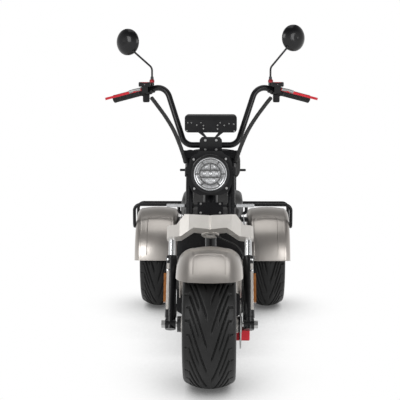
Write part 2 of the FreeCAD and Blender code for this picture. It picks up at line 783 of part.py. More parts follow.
def switch_blocks():
    """Switch housings clamped on the bar between the brake clamps and the grips."""
    start, end = grip_span(*SWITCH_CLAMP)
    ring = rod(start, end, BAR_RADIUS + 7)
    middle = start + (end - start) * 0.5
    pod = box(middle.x - 22, middle.x + 5, middle.y - 14, middle.y + 18, middle.z - 46, middle.z - 8)
    pod = pod.makeFillet(6, pod.Edges)
    hole_start, hole_end = grip_span(55, 130)
    hole = rod(hole_start, hole_end, BAR_RADIUS + FIT)
    clamp_start, clamp_end = grip_span(*BRAKE_CLAMP)
    clear = rod(clamp_start, clamp_end, BAR_RADIUS + 8 + SEAT_GAP)
    return both_sides(ring.fuse(pod).cut(hole).cut(clear).cut(cylinder_body(SEAT_GAP)))


LEVER_DROOP = 14.4


def brake_levers():
    """Flat lever blades in front of the grips."""
    start, end = grip_span(*BRAKE_CLAMP)
    middle = start + (end - start) * 0.5
    x0 = middle.x + 27.5
    y0 = middle.y - 36
    z0 = middle.z + 2
    tip_y = y0 + 52
    points = [(x0, y0 - 10), (x0 + 30, y0 - 12), (LEVER_TIP - 6, tip_y - 8), (LEVER_TIP, tip_y),
              (LEVER_TIP - 6, tip_y + 8), (x0 + 34, y0 + 4), (x0, y0 + 10)]
    blade = outline([vec(x, y, z0 - 5) for x, y in points]).extrude(vec(0, 0, 10))
    blade.rotate(vec(x0, y0, z0), Y_AXIS, LEVER_DROOP)
    return both_sides(blade)


def mirror_centres():
    y = bar_centre_y() + MIRROR_BACK
    return {1: vec(338, y, BAR_HEIGHT + MIRROR_RISE), -1: vec(-345, y, BAR_HEIGHT + MIRROR_RISE - 16)}


def mirror_head(side):
    """Round mirror shell with a recess for the glass, turned outwards."""
    r = MIRROR_RADIUS
    profile = [vec(0, -22, 0), vec(r, 0, 0), vec(r, 8, 0), vec(0, 8, 0)]
    dome = Part.Arc(profile[0], vec(r * 0.72, -15, 0), profile[1]).toShape()
    edges = [dome, Part.makeLine(profile[1], profile[2]), Part.makeLine(profile[2], profile[3]),
             Part.makeLine(profile[3], profile[0])]
    head = Part.Face(Part.Wire(edges)).revolve(ORIGIN, Y_AXIS, 360)
    head = head.cut(Part.makeCylinder(r - 4, 4, vec(0, 4.5, 0), Y_AXIS))
    head.rotate(ORIGIN, Z_AXIS, side * MIRROR_TURN)
    return head


def mirrors():
    shapes = []
    for side, centre in mirror_centres().items():
        head = mirror_head(side)
        head.translate(centre)
        start, end = grip_span(*MIRROR_CLAMP)
        foot = vec(side * start.x, start.y, start.z)
        clamp_end = vec(side * end.x, end.y, end.z)
        clamp = rod(foot, clamp_end, BAR_RADIUS + 5)
        hole_start, hole_end = grip_span(50, 90)
        hole = rod(vec(side * hole_start.x, hole_start.y, hole_start.z),
                   vec(side * hole_end.x, hole_end.y, hole_end.z), BAR_RADIUS + FIT)
        base = foot + (clamp_end - foot) * 0.5 + vec(0, 0, BAR_RADIUS + 3)
        elbow = base + vec(0, 0, 72)
        meet = centre + vec(-side * 25, -24, -36)
        stalk = tube([base, elbow, meet], 4, 26)
        socket = cone(base, base + vec(0, 0, 36), 9, 6)
        shapes.append(fused([head, stalk, socket, clamp]).cut(hole))
    return group(shapes)


def mirror_glasses():
    shapes = []
    for side, centre in mirror_centres().items():
        glass = Part.makeCylinder(MIRROR_RADIUS - 4 - SEAT_GAP, 3, vec(0, 4.8, 0), Y_AXIS)
        glass.rotate(ORIGIN, Z_AXIS, side * MIRROR_TURN)
        glass.translate(centre)
        shapes.append(glass)
    return group(shapes)


LOOM_RADIUS = 8.5


def cable_looms():
    """Corrugated looms from the switches down behind the bar to the lamp bowl."""
    y = bar_centre_y()
    stay_x = HEADLIGHT_RADIUS + 14 + LOOM_RADIUS
    z = BAR_HEIGHT
    right = [vec(244, y + 80, z + 188), vec(222, y + 56, z + 162), vec(182, y + 24, z + 110),
             vec(148, y - 20, z + 58), vec(121, y - 75, z + 2), vec(stay_x, y - 101, z - 64)]
    loom = cable("cable_loom", right, LOOM_RADIUS)
    return both_sides(loom)


def brake_hose():
    """Brake hose from under the crown along the fork leg to the caliper."""
    y, z = caliper_centre()
    points = [fork_point(20, 12, CROWN_BASE + 22), fork_point(62, 22, CROWN_BASE + 4),
              fork_point(104, 28, CROWN_BASE - 12), fork_point(130, 30, CROWN_BASE - 50),
              fork_point(131, 30, CROWN_BASE - 104), fork_point(131, 30.5, CROWN_BASE - 160),
              fork_point(130, 36, CROWN_BASE - 216), fork_point(129, 52, CROWN_BASE - 268),
              vec(128, y + 4, z + CALIPER_HALF_HEIGHT + SEAT_GAP)]
    return cable("brake_hose", points, 3.0)


# ---- Frame, floor and seat ------------------------------------------------------

def frame_y(distance):
    """Y of a station measured back from the front axle."""
    return FRONT_Y + distance


SEAT_RAIL_END = REAR_Y + SEAT_RAIL_OVERHANG


def seat_post(radius):
    """Tube that rises from a floor rail and bends back to become the seat rail."""
    x = FRAME_HALF_WIDTH
    return tube([vec(x, frame_y(815), FRAME_HEIGHT), vec(x, frame_y(790), SEAT_RAIL_HEIGHT),
                 vec(x, SEAT_RAIL_END, SEAT_RAIL_HEIGHT)], radius, 60)


REAR_BAR = 11.0
OUTRIGGER_HEIGHT = TYRE_RADIUS + REAR_FENDER_RADIUS - 51
LUG_HOLE = 4.25
LUG_HOLE_BACK = 24.0


def main_frame():
    """Welded tube frame: head tube, down tube, two floor rails that rise under the seat."""
    head = Part.makeCylinder(HEAD_TUBE_RADIUS, HEAD_TUBE_LENGTH,
                             vec(0, STEER_OFFSET, HEAD_TUBE_BASE), Z_AXIS)
    head = fork_place(head)
    top = fork_point(0, STEER_OFFSET, HEAD_TUBE_BASE + 130)
    down = tube([top, vec(0, frame_y(412), 420), vec(0, frame_y(412), FRAME_HEIGHT)], DOWN_TUBE, 120)
    cross = rod(vec(-FRAME_HALF_WIDTH, frame_y(412), FRAME_HEIGHT),
                vec(FRAME_HALF_WIDTH, frame_y(412), FRAME_HEIGHT), FRAME_TUBE)
    x = FRAME_HALF_WIDTH
    rail = tube([vec(x, frame_y(412), FRAME_HEIGHT), vec(x, frame_y(1040), FRAME_HEIGHT),
                 vec(x, frame_y(1120), SEAT_RAIL_HEIGHT)], FRAME_TUBE - 1, 70)
    post = seat_post(FRAME_TUBE)
    lug = box(x - 26, x + 26, frame_y(1030), frame_y(1062), 185, 232)
    ear = box(x + 20, x + 26, frame_y(1060), frame_y(1100), 185, 232)
    other_ear = box(x - 26, x - 20, frame_y(1060), frame_y(1100), 185, 232)
    rack_lug = box(x - 15, x + 15, SEAT_RAIL_END - 4, SEAT_RAIL_END + 40,
                   SEAT_RAIL_HEIGHT - 4, SEAT_RAIL_HEIGHT + 4)
    rack_hole = Part.makeCylinder(LUG_HOLE, 20, vec(x, SEAT_RAIL_END + LUG_HOLE_BACK, SEAT_RAIL_HEIGHT - 10))
    side = [rail, post, lug, ear, other_ear, rack_lug.cut(rack_hole)]
    ties = []
    for station in (frame_y(900), SEAT_RAIL_END - 20):
        ties.append(rod(vec(-x, station, SEAT_RAIL_HEIGHT), vec(x, station, SEAT_RAIL_HEIGHT), REAR_BAR))
    outriggers = []
    outrigger = REAR_FENDER_X - REAR_FENDER_WIDTH / 2 - SEAT_GAP
    for station in (REAR_Y - 110, REAR_Y - 60):
        outriggers.append(rod(vec(-outrigger, station, OUTRIGGER_HEIGHT),
                              vec(outrigger, station, OUTRIGGER_HEIGHT), 9))
    hangers = [box(x - 6, x + 6, REAR_Y - 120, REAR_Y - 50, OUTRIGGER_HEIGHT - 10, SEAT_RAIL_HEIGHT)]
    shapes = [head, down, cross] + side + [mirrored(s) for s in side] + ties + outriggers
    shapes += hangers + [mirrored(s) for s in hangers]
    whole = fused(shapes)
    bore = Part.makeCylinder(STEM_RADIUS + 0.08, HEAD_TUBE_LENGTH + 40,
                             vec(0, STEER_OFFSET, HEAD_TUBE_BASE - 20), Z_AXIS)
    pivot = rod(vec(-200, frame_y(1083), 208), vec(200, frame_y(1083), 208), 8 + FIT)
    return whole.cut(fork_place(bore)).cut(pivot)


def pan_outline(inset):
    half = PAN_HALF_WIDTH - inset
    low = PAN_BOTTOM + inset
    top = PAN_TOP
    return [(-half, top), (-half, 200), (-72, low), (72, low), (half, 200), (half, top)]


def floor_pan():
    """Open-topped tray under the deck, with chamfered lower corners."""
    start = frame_y(PAN_START)
    end = start + PAN_LENGTH
    outer = front_plate(pan_outline(0), start, end)
    inner = front_plate(pan_outline(PAN_WALL), start + PAN_WALL, end - PAN_WALL)
    tray = outer.cut(inner)
    for x in (-FRAME_HALF_WIDTH, FRAME_HALF_WIDTH):
        hole = rod(vec(x, end - 20, FRAME_HEIGHT), vec(x, end + 20, FRAME_HEIGHT), FRAME_TUBE + SEAT_GAP)
        tray = tray.cut(hole)
    return tray


def battery():
    """Battery pack between the floor rails."""
    start = frame_y(PAN_START) + 70
    half = BATTERY_WIDTH / 2
    return box(-half, half, start, start + 500, PAN_BOTTOM + PAN_WALL + SEAT_GAP, PAN_TOP - 6)


def footboard():
    """Flat deck over the tray, pierced by the down tube and the seat posts."""
    half = PAN_HALF_WIDTH + 14
    start = frame_y(PAN_START) - 4
    deck = box(-half, half, start, frame_y(PAN_START + PAN_LENGTH), PAN_TOP + SEAT_GAP,
               PAN_TOP + DECK_THICKNESS)
    notch = rod(vec(0, frame_y(412), PAN_TOP - 40), vec(0, frame_y(412), PAN_TOP + 60), DOWN_TUBE + SEAT_GAP)
    post = seat_post(FRAME_TUBE + SEAT_GAP)
    return deck.cut(notch).cut(post).cut(mirrored(post))


SEAT_BASE = SEAT_RAIL_HEIGHT + FRAME_TUBE + SEAT_GAP
HINGE_Y = frame_y(SEAT_START + 4)
HINGE_Z = SEAT_BASE + 6
HINGE_RADIUS = 6.0
HINGE_PIN = 4.0
HINGE_HALF = 98.0
EAR_THICKNESS = 6.0


def body_shell():
    """Side covers under the seat: a tapered skirt, open above, below and behind."""
    top = SEAT_RAIL_HEIGHT + FRAME_TUBE
    base = PAN_TOP + DECK_THICKNESS + SEAT_GAP
    start = HINGE_Y + 10
    end = frame_y(1120)

    def loft(inset, back):
        """Tapered block; inset narrows it all round and back moves its rear face."""
        wires = []
        for half, z in ((SHELL_HALF_WIDTH - inset, base), (SEAT_HALF_WIDTH - inset, top)):
            front = start + inset
            corners = [vec(-half, front, z), vec(half, front, z), vec(half, back, z), vec(-half, back, z)]
            wires.append(Part.makePolygon(corners + corners[:1]))
        return Part.makeLoft(wires, True, True)

    shell = loft(0, end).cut(loft(SHELL_WALL, end + 10))
    for side in (-1, 1):
        near = side * (HINGE_HALF + SEAT_GAP)
        far = near + side * EAR_THICKNESS
        ear = side_plate([(start + 2, top - 22), (start + 2, top - 1), (HINGE_Y + 6, top - 1),
                          (HINGE_Y + 5, HINGE_Z), (HINGE_Y + 2, HINGE_Z + 5), (HINGE_Y - 4, HINGE_Z + 5),
                          (HINGE_Y - 6, HINGE_Z + 2), (HINGE_Y - 6, HINGE_Z - 8)], near, far)
        pin = rod(vec(far, HINGE_Y, HINGE_Z), vec(near - side * 12, HINGE_Y, HINGE_Z), HINGE_PIN)
        shell = shell.fuse(ear).fuse(pin)
    return shell.removeSplitter()


def seat_pan():
    """Moulded base under the seat cushion; it swings up on its front hinge."""
    half = SEAT_HALF_WIDTH - 12
    tray = box(-half, half, HINGE_Y + 9, frame_y(SEAT_END - 6), SEAT_BASE, SEAT_BASE + SEAT_PAN_THICKNESS)
    web = box(-HINGE_HALF, HINGE_HALF, HINGE_Y, HINGE_Y + 9, SEAT_BASE, SEAT_BASE + 8)
    barrel = rod(vec(-HINGE_HALF, HINGE_Y, HINGE_Z), vec(HINGE_HALF, HINGE_Y, HINGE_Z), HINGE_RADIUS)
    bore = rod(vec(-200, HINGE_Y, HINGE_Z), vec(200, HINGE_Y, HINGE_Z), HINGE_PIN + FIT)
    return fused([tray, web, barrel]).cut(bore)


def seat():
    """Long two-person cushion with a step up to the passenger's half."""
    base = SEAT_BASE + SEAT_PAN_THICKNESS + SEAT_GAP
    top = base + SEAT_THICKNESS - SEAT_PAN_THICKNESS
    start = frame_y(SEAT_START)
    end = frame_y(SEAT_END)
    step = start + 300
    points = [(start + 10, base), (start, base + 26), (start + 40, top), (step - 40, top - 8),
              (step + 30, top + 18), (end - 20, top + 22), (end, top), (end - 4, base)]
    cushion = side_plate(points, -SEAT_HALF_WIDTH, SEAT_HALF_WIDTH)
    for side in (-1, 1):
        cut_face = outline([vec(side * (SEAT_HALF_WIDTH + 1), start - 10, base + 20),
                            vec(side * (SEAT_HALF_WIDTH + 1), start - 10, top + 60),
                            vec(side * (SEAT_HALF_WIDTH - 26), start - 10, top + 60)])
        cushion = cushion.cut(cut_face.extrude(vec(0, SEAT_END - SEAT_START + 20, 0)))
    return cushion


def backrest():
    """Passenger's back pad."""
    y0 = frame_y(BACKREST_FRONT)
    pad = box(-BACKREST_HALF_WIDTH, BACKREST_HALF_WIDTH, y0, y0 + BACKREST_THICKNESS,
              BACKREST_BOTTOM, BACKREST_TOP)
    return pad.makeFillet(22, pad.Edges)


def backrest_frame():
    """Bent tube behind the back pad, standing on the ends of the seat rails."""
    y = frame_y(BACKREST_FRONT) + BACKREST_THICKNESS + SEAT_GAP + 10
    low = SEAT_RAIL_HEIGHT + FRAME_TUBE + SEAT_GAP
    x = FRAME_HALF_WIDTH
    top = BACKREST_TOP - 42
    points = [vec(x, y, low), vec(x, y, top), vec(-x, y, top), vec(-x, y, low)]
    tie = rod(vec(-x, y, BACKREST_BOTTOM + 26), vec(x, y, BACKREST_BOTTOM + 26), 8)
    return tube(points, 10, 40).fuse(tie)


# ---- Rear end -------------------------------------------------------------------

def rear_swingarm():
    """Two box arms from the frame pivot to the axle housing."""
    x = FRAME_HALF_WIDTH
    arm = box(x - 15, x + 15, frame_y(1083), REAR_Y - AXLE_TUBE_RADIUS, 190, 238)
    eye = rod(vec(x - 20 + SEAT_GAP, frame_y(1083), 208), vec(x + 20 - SEAT_GAP, frame_y(1083), 208), 17)
    pin = rod(vec(x - 32, frame_y(1083), 208), vec(x + 32, frame_y(1083), 208), 8)
    clamp = rod(vec(x - 18, REAR_Y, TYRE_RADIUS), vec(x + 18, REAR_Y, TYRE_RADIUS), AXLE_TUBE_RADIUS + 8)
    post = box(x - 12, x + 12, REAR_Y - 40, REAR_Y - 12, 230, 296)
    side = fused([arm, eye, pin, clamp, post])
    hole = rod(vec(-200, REAR_Y, TYRE_RADIUS), vec(200, REAR_Y, TYRE_RADIUS), AXLE_TUBE_RADIUS + FIT)
    side = side.cut(hole)
    brace = rod(vec(-x, frame_y(1180), 214), vec(x, frame_y(1180), 214), 15)
    return fused([side, mirrored(side), brace])


def rear_axle_housing():
    """Axle tube with the stub shafts and the brake backplates."""
    inner = MOTOR_HALF_LENGTH + SEAT_GAP
    tube_end = REAR_HUB_INNER - 8
    side = rod(vec(inner, REAR_Y, TYRE_RADIUS), vec(tube_end, REAR_Y, TYRE_RADIUS), AXLE_TUBE_RADIUS)
    plate = rod(vec(tube_end - 8, REAR_Y, TYRE_RADIUS), vec(tube_end, REAR_Y, TYRE_RADIUS), DRUM_RADIUS - 4)
    shaft = rod(vec(tube_end, REAR_Y, TYRE_RADIUS), vec(REAR_HUB_OUTER + 12, REAR_Y, TYRE_RADIUS), SHAFT_RADIUS)
    side = fused([side, plate, shaft])
    return both_sides(side)


def drive_motor():
    """Motor and differential casing in the middle of the rear axle."""
    start = vec(-MOTOR_HALF_LENGTH, REAR_Y, TYRE_RADIUS)
    casing = Part.makeCylinder(MOTOR_RADIUS, 2 * MOTOR_HALF_LENGTH, start, X_AXIS)
    return casing.makeFillet(10, casing.Edges)


def rear_shocks():
    """Spring and damper units between the axle clamps and the seat rails."""
    x = FRAME_HALF_WIDTH
    low = vec(x, REAR_Y - 26, 296 + 3.7)
    high = vec(x, REAR_Y - 85, OUTRIGGER_HEIGHT - 10 - 3.7)
    run = high - low
    body = rod(low + run * 0.08, low + run * 0.92, SHOCK_RADIUS)
    ends = rod(low, high, 9)
    return both_sides(body.fuse(ends))


def rear_fender(side):
    """Wide round-shouldered mudguard over one rear wheel."""
    shell = fender(REAR_FENDER_WIDTH, REAR_FENDER_RADIUS, REAR_FENDER_CORNER, FENDER_SKIRT, REAR_FENDER_X, REAR_Y,
                   REAR_FENDER_START, 180)
    return shell if side > 0 else mirrored(shell)


def grab_rail(side):
    """Tube hoop that runs round the outside of a rear fender."""
    x0 = FRAME_HALF_WIDTH + 4
    x1 = REAR_FENDER_X + REAR_FENDER_WIDTH / 2 + SEAT_GAP + RAIL_TUBE
    front = REAR_Y - RAIL_HALF_LENGTH
    back = REAR_Y + RAIL_HALF_LENGTH
    low = RAIL_TOP - RAIL_FALL
    rise = SEAT_HALF_WIDTH + RAIL_TUBE + 10
    points = [vec(x0, front, SEAT_RAIL_HEIGHT), vec(rise, front, SEAT_RAIL_HEIGHT), vec(rise, front, RAIL_TOP),
              vec(x1, front, RAIL_TOP), vec(x1, front, RAIL_LOW), vec(x1, back, RAIL_LOW), vec(x1, back, low),
              vec(x0, back, low), vec(x0, back, SEAT_RAIL_HEIGHT)]
    hoop = tube(points, RAIL_TUBE, [16, 16, 30, 26, 26, 30, 10])
    seat_rail = rod(vec(FRAME_HALF_WIDTH, front - 50, SEAT_RAIL_HEIGHT),
                    vec(FRAME_HALF_WIDTH, back + 50, SEAT_RAIL_HEIGHT), FRAME_TUBE + SEAT_GAP)
    hoop = hoop.cut(seat_rail)
    return hoop if side > 0 else mirrored(hoop)


def tail_y():
    """Back face of the rear cross tube."""
    return SEAT_RAIL_END - 20 + REAR_BAR


def tail_light():
    """Wide lamp hung behind the rear cross tube, on the plate holder's top flange."""
    y = tail_y() + 3 + 2 * SEAT_GAP
    top = SEAT_RAIL_HEIGHT - 25
    lamp = box(-80, 80, y, y + 26, top - 50, top)
    return lamp.makeFillet(6, lamp.Edges)


def rear_signals():
    """Stick indicators at the sides of the backrest tube."""
    y = frame_y(BACKREST_FRONT) + BACKREST_THICKNESS + SEAT_GAP + 10
    z = BACKREST_BOTTOM + 48
    lamp = box(FRAME_HALF_WIDTH + 10 + SEAT_GAP, 168, y - 8, y + 8, z, z + 12)
    return both_sides(lamp.makeFillet(4, lamp.Edges))


def plate_holder():
    """Pressed plate hung from the rear cross tube, with a blank number plate below."""
    y = tail_y() + SEAT_GAP
    z = SEAT_RAIL_HEIGHT
    return side_plate([(y, z + 11), (y + 3, z + 11), (y + 3, z - 85), (y + 43, z - 205), (y + 40, z - 205),
                       (y, z - 85)], -90, 90)


# ---- Write every node -----------------------------------------------------------

save("front_tyre", tyre(FRONT_TYRE_WIDTH, 0, FRONT_Y))
save("front_rim", front_rim())
save("front_disc", front_disc())
for label, side in (("left", 1), ("right", -1)):
    save(f"rear_tyre_{label}", tyre(REAR_TYRE_WIDTH, side * REAR_WHEEL_X, REAR_Y))
    save(f"rear_rim_{label}", rear_rim(side))
    save(f"rear_fender_{label}", rear_fender(side))
    save(f"grab_rail_{label}", grab_rail(side))

save("fork_crown", fork_crown())
save("steering_stem", steering_stem())
save("riser_tubes", riser_tubes())
save("fork_tubes", fork_tubes())
save("fork_sliders", fork_sliders())
save("front_axle", front_axle())
save("front_caliper", front_caliper())
save("front_fender", front_fender())
save("fork_reflectors", fork_reflectors())
save("headlight_housing", headlight_housing())
save("headlight_lens", headlight_lens())
save("headlight_bracket", headlight_bracket())
save("front_signals", front_signals())
save("signal_bracket", signal_bracket())
save("bar_clamp", bar_clamp())
save("display_housing", display_housing())
save("display_arms", display_arms())
save("handlebar", handlebar())
save("grips", grips())
save("master_cylinders", master_cylinders())
save("switch_blocks", switch_blocks())
save("brake_levers", brake_levers())
save("mirrors", mirrors())
save("mirror_glasses", mirror_glasses())
save("cable_looms", cable_looms())
save("brake_hose", brake_hose())
save("main_frame", main_frame())
save("floor_pan", floor_pan())
save("battery", battery())
save("footboard", footboard())
save("body_shell", body_shell())
save("seat_pan", seat_pan())
save("seat", seat())
save("backrest", backrest())
save("backrest_frame", backrest_frame())
save("rear_swingarm", rear_swingarm())
save("rear_axle_housing", rear_axle_housing())
save("drive_motor", drive_motor())
save("rear_shocks", rear_shocks())
save("tail_light", tail_light())
save("rear_signals", rear_signals())
save("plate_holder", plate_holder())
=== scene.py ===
import math

import bmesh
import bpy
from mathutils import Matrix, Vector


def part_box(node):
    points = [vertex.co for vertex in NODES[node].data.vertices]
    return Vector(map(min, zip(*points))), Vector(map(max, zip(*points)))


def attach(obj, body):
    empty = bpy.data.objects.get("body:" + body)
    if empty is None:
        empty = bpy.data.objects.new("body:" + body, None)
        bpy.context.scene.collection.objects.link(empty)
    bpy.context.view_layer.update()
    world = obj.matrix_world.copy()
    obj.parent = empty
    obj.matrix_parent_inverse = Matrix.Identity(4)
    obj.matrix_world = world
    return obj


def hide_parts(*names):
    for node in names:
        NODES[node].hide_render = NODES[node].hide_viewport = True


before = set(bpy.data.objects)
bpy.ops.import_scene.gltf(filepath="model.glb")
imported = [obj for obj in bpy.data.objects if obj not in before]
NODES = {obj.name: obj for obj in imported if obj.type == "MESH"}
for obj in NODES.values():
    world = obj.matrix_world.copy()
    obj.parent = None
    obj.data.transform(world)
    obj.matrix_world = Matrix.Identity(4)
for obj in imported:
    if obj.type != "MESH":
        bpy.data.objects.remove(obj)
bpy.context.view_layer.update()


# ---- Places taken from the frame --------------------------------------------------

def centre(node):
    low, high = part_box(node)
    return (Vector(low) + Vector(high)) / 2


def span(node):
    low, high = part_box(node)
    return Vector(high) - Vector(low)


FRONT_HUB = centre("front_tyre")
REAR_HUB = {"left": centre("rear_tyre_left"), "right": centre("rear_tyre_right")}
TYRE_R = span("front_tyre").z / 2

# As in the part's source, in metres: the fork's rake and legs, and the handlebar's clamp, measured
# back from the front axle and up from the ground.
RAKE = math.radians(27.5)
LEG_X = 0.1465
BAR_BACK = 0.3728
BAR_Z = 0.886


def fork_point(x, back, along):
    """Point beside the raked fork: back is square to it, along runs up it from the axle."""
    y = FRONT_HUB.y + back * math.cos(RAKE) + along * math.sin(RAKE)
    z = TYRE_R - back * math.sin(RAKE) + along * math.cos(RAKE)
    return Vector((x, y, z))


FORK_UP = Vector((0, math.sin(RAKE), math.cos(RAKE)))
FORK_FRONT = Vector((0, -math.cos(RAKE), math.sin(RAKE)))


# ---- Materials --------------------------------------------------------------------

class Shader:
    """Small helper round one material's node tree."""

    def __init__(self, name, rough=0.5, metallic=0.0, specular=0.5):
        self.mat = bpy.data.materials.new(name)
        self.mat.use_nodes = True
        self.nodes = self.mat.node_tree.nodes
        self.links = self.mat.node_tree.links
        self.bsdf = self.nodes["Principled BSDF"]
        self.bsdf.inputs["Roughness"].default_value = rough
        self.bsdf.inputs["Metallic"].default_value = metallic
        self.bsdf.inputs["Specular IOR Level"].default_value = specular
        self.place = self.nodes.new("ShaderNodeTexCoord").outputs["Object"]

    def noise(self, scale, detail=4, rough=0.55, stretch=None):
        tex = self.nodes.new("ShaderNodeTexNoise")
        tex.inputs["Scale"].default_value = scale
        tex.inputs["Detail"].default_value = detail
        tex.inputs["Roughness"].default_value = rough
        source = self.place
        if stretch:
            mapping = self.nodes.new("ShaderNodeMapping")
            mapping.inputs["Scale"].default_value = stretch
            self.links.new(source, mapping.inputs["Vector"])
            source = mapping.outputs["Vector"]
        self.links.new(source, tex.inputs["Vector"])
        return tex.outputs["Fac"]

    def ramp(self, source, stops):
        ramp = self.nodes.new("ShaderNodeValToRGB")
        elements = ramp.color_ramp.elements
        while len(elements) < len(stops):
            elements.new(0.5)
        for element, (at, colour) in zip(elements, stops):
            element.position = at
            element.color = (*colour, 1)
        self.links.new(source, ramp.inputs["Fac"])
        return ramp.outputs["Color"]

    def colour(self, source):
        self.links.new(source, self.bsdf.inputs["Base Color"])

    def roughness(self, source, low, high):
        spread = self.nodes.new("ShaderNodeMapRange")
        spread.inputs["To Min"].default_value = low
        spread.inputs["To Max"].default_value = high
        self.links.new(source, spread.inputs["Value"])
        self.links.new(spread.outputs["Result"], self.bsdf.inputs["Roughness"])

    def bump(self, source, strength, distance):
        bump = self.nodes.new("ShaderNodeBump")
        bump.inputs["Strength"].default_value = strength
        bump.inputs["Distance"].default_value = distance
        self.links.new(source, bump.inputs["Height"])
        self.links.new(bump.outputs["Normal"], self.bsdf.inputs["Normal"])

    def set(self, socket, value):
        self.bsdf.inputs[socket].default_value = value


def varied(name, dark, light, scale, rough, metallic=0.0, bump=0.15, depth=0.0004, grain=900.0,
           specular=0.5, coat=0.0, stretch=None):
    """Surface with slow colour variation, fine grain and uneven gloss."""
    s = Shader(name, metallic=metallic, specular=specular)
    slow = s.noise(scale, 5, 0.6, stretch)
    s.colour(s.ramp(slow, [(0.3, dark), (0.7, light)]))
    s.roughness(s.noise(scale * 6, 6, 0.7, stretch), rough[0], rough[1])
    s.bump(s.noise(grain, 3, 0.5, stretch), bump, depth)
    if coat:
        s.set("Coat Weight", coat)
        s.set("Coat Roughness", 0.08)
    return s.mat


MATS = {
    "tyre": varied("tyre_rubber", (0.008, 0.008, 0.008), (0.016, 0.016, 0.016), 18, (0.34, 0.52),
                   bump=0.3, depth=0.0005, grain=700, specular=0.3),
    "rim": varied("rim_paint", (0.010, 0.010, 0.011), (0.022, 0.022, 0.023), 12, (0.25, 0.4), coat=0.4),
    "steel": varied("brushed_steel", (0.42, 0.42, 0.42), (0.62, 0.62, 0.61), 20, (0.22, 0.4), 1.0,
                    grain=500, stretch=(1, 1, 8)),
    "chrome": varied("chrome", (0.78, 0.79, 0.80), (0.90, 0.91, 0.92), 8, (0.06, 0.14), 1.0, bump=0.04),
    "crown": varied("crown_cast", (0.70, 0.67, 0.63), (0.82, 0.79, 0.75), 9, (0.30, 0.44), 0.4,
                    bump=0.12, grain=600, coat=0.15),
    "fender": varied("fender_champagne", (0.50, 0.465, 0.43), (0.60, 0.565, 0.53), 3.5, (0.26, 0.36), 0.85,
                     bump=0.05, grain=2200, coat=0.2),
    "black": varied("frame_black", (0.004, 0.004, 0.005), (0.010, 0.010, 0.011), 10, (0.2, 0.36),
                    coat=0.08, bump=0.08, specular=0.3),
    "slider": varied("slider_black", (0.005, 0.005, 0.006), (0.012, 0.012, 0.013), 14, (0.22, 0.38),
                     coat=0.1, specular=0.3),
    "plastic": varied("black_plastic", (0.008, 0.008, 0.009), (0.017, 0.017, 0.018), 16, (0.42, 0.6),
                      bump=0.35, grain=1200, specular=0.22),
    "gloss": varied("gloss_black", (0.004, 0.004, 0.005), (0.010, 0.010, 0.011), 8, (0.14, 0.26),
                    coat=0.12, specular=0.3, bump=0.05),
    "red": varied("red_anodised", (0.46, 0.014, 0.024), (0.66, 0.035, 0.05), 22, (0.24, 0.4), 0.6,
                  bump=0.12, grain=1400),
    "clear_lens": varied("clear_lens", (0.42, 0.43, 0.44), (0.62, 0.63, 0.64), 60, (0.15, 0.3), 0.4,
                         bump=0.5, depth=0.001, grain=300),
    "cup_red": varied("cup_red", (0.26, 0.008, 0.016), (0.42, 0.02, 0.03), 20, (0.25, 0.4), 0.4),
    "amber": varied("amber_lens", (0.30, 0.10, 0.02), (0.48, 0.19, 0.05), 30, (0.15, 0.3), bump=0.5,
                    depth=0.0012, grain=260),
    "tail": varied("tail_lens", (0.20, 0.004, 0.006), (0.34, 0.012, 0.014), 30, (0.12, 0.25), bump=0.5,
                   depth=0.0012, grain=220),
    "grip": varied("grip_rubber", (0.010, 0.010, 0.010), (0.022, 0.022, 0.022), 40, (0.55, 0.75),
                   bump=0.5, grain=900),
    "hose": varied("hose_rubber", (0.010, 0.010, 0.010), (0.02, 0.02, 0.02), 30, (0.4, 0.6), bump=0.3),
    "deck": varied("deck_rubber", (0.016, 0.016, 0.016), (0.034, 0.034, 0.033), 25, (0.55, 0.8), bump=0.5,
                   grain=800),
    "alloy": varied("motor_alloy", (0.30, 0.30, 0.30), (0.46, 0.46, 0.45), 14, (0.35, 0.55), 0.8,
                    bump=0.3, grain=500),
}


def leather():
    s = Shader("seat_leather", rough=0.45)
    s.colour(s.ramp(s.noise(14, 5), [(0.3, (0.012, 0.012, 0.012)), (0.7, (0.028, 0.027, 0.026))]))
    s.roughness(s.noise(60, 4), 0.36, 0.56)
    cells = s.nodes.new("ShaderNodeTexVoronoi")
    cells.feature = "DISTANCE_TO_EDGE"
    cells.inputs["Scale"].default_value = 420
    s.links.new(s.place, cells.inputs["Vector"])
    s.bump(cells.outputs["Distance"], 0.5, 0.0006)
    return s.mat


def glass():
    s = Shader("lamp_glass", rough=0.04)
    s.set("Alpha", 0.06)
    s.colour(s.ramp(s.noise(40, 3), [(0.3, (0.93, 0.95, 0.96)), (0.7, (1, 1, 1))]))
    s.bump(s.noise(80, 2), 0.05, 0.0004)
    return s.mat


def reflector():
    s = Shader("reflector", rough=0.3, metallic=0.45)
    s.colour(s.ramp(s.noise(60, 4), [(0.3, (0.62, 0.63, 0.65)), (0.7, (0.86, 0.87, 0.88))]))
    s.roughness(s.noise(120, 4), 0.18, 0.4)
    return s.mat


def mirror_glass():
    s = Shader("mirror_glass", rough=0.02, metallic=1.0)
    s.colour(s.ramp(s.noise(12, 3), [(0.3, (0.80, 0.82, 0.83)), (0.7, (0.88, 0.89, 0.9))]))
    s.roughness(s.noise(50, 4), 0.01, 0.05)
    return s.mat


MATS["leather"] = leather()
MATS["glass"] = glass()
MATS["reflector"] = reflector()
MATS["mirror"] = mirror_glass()

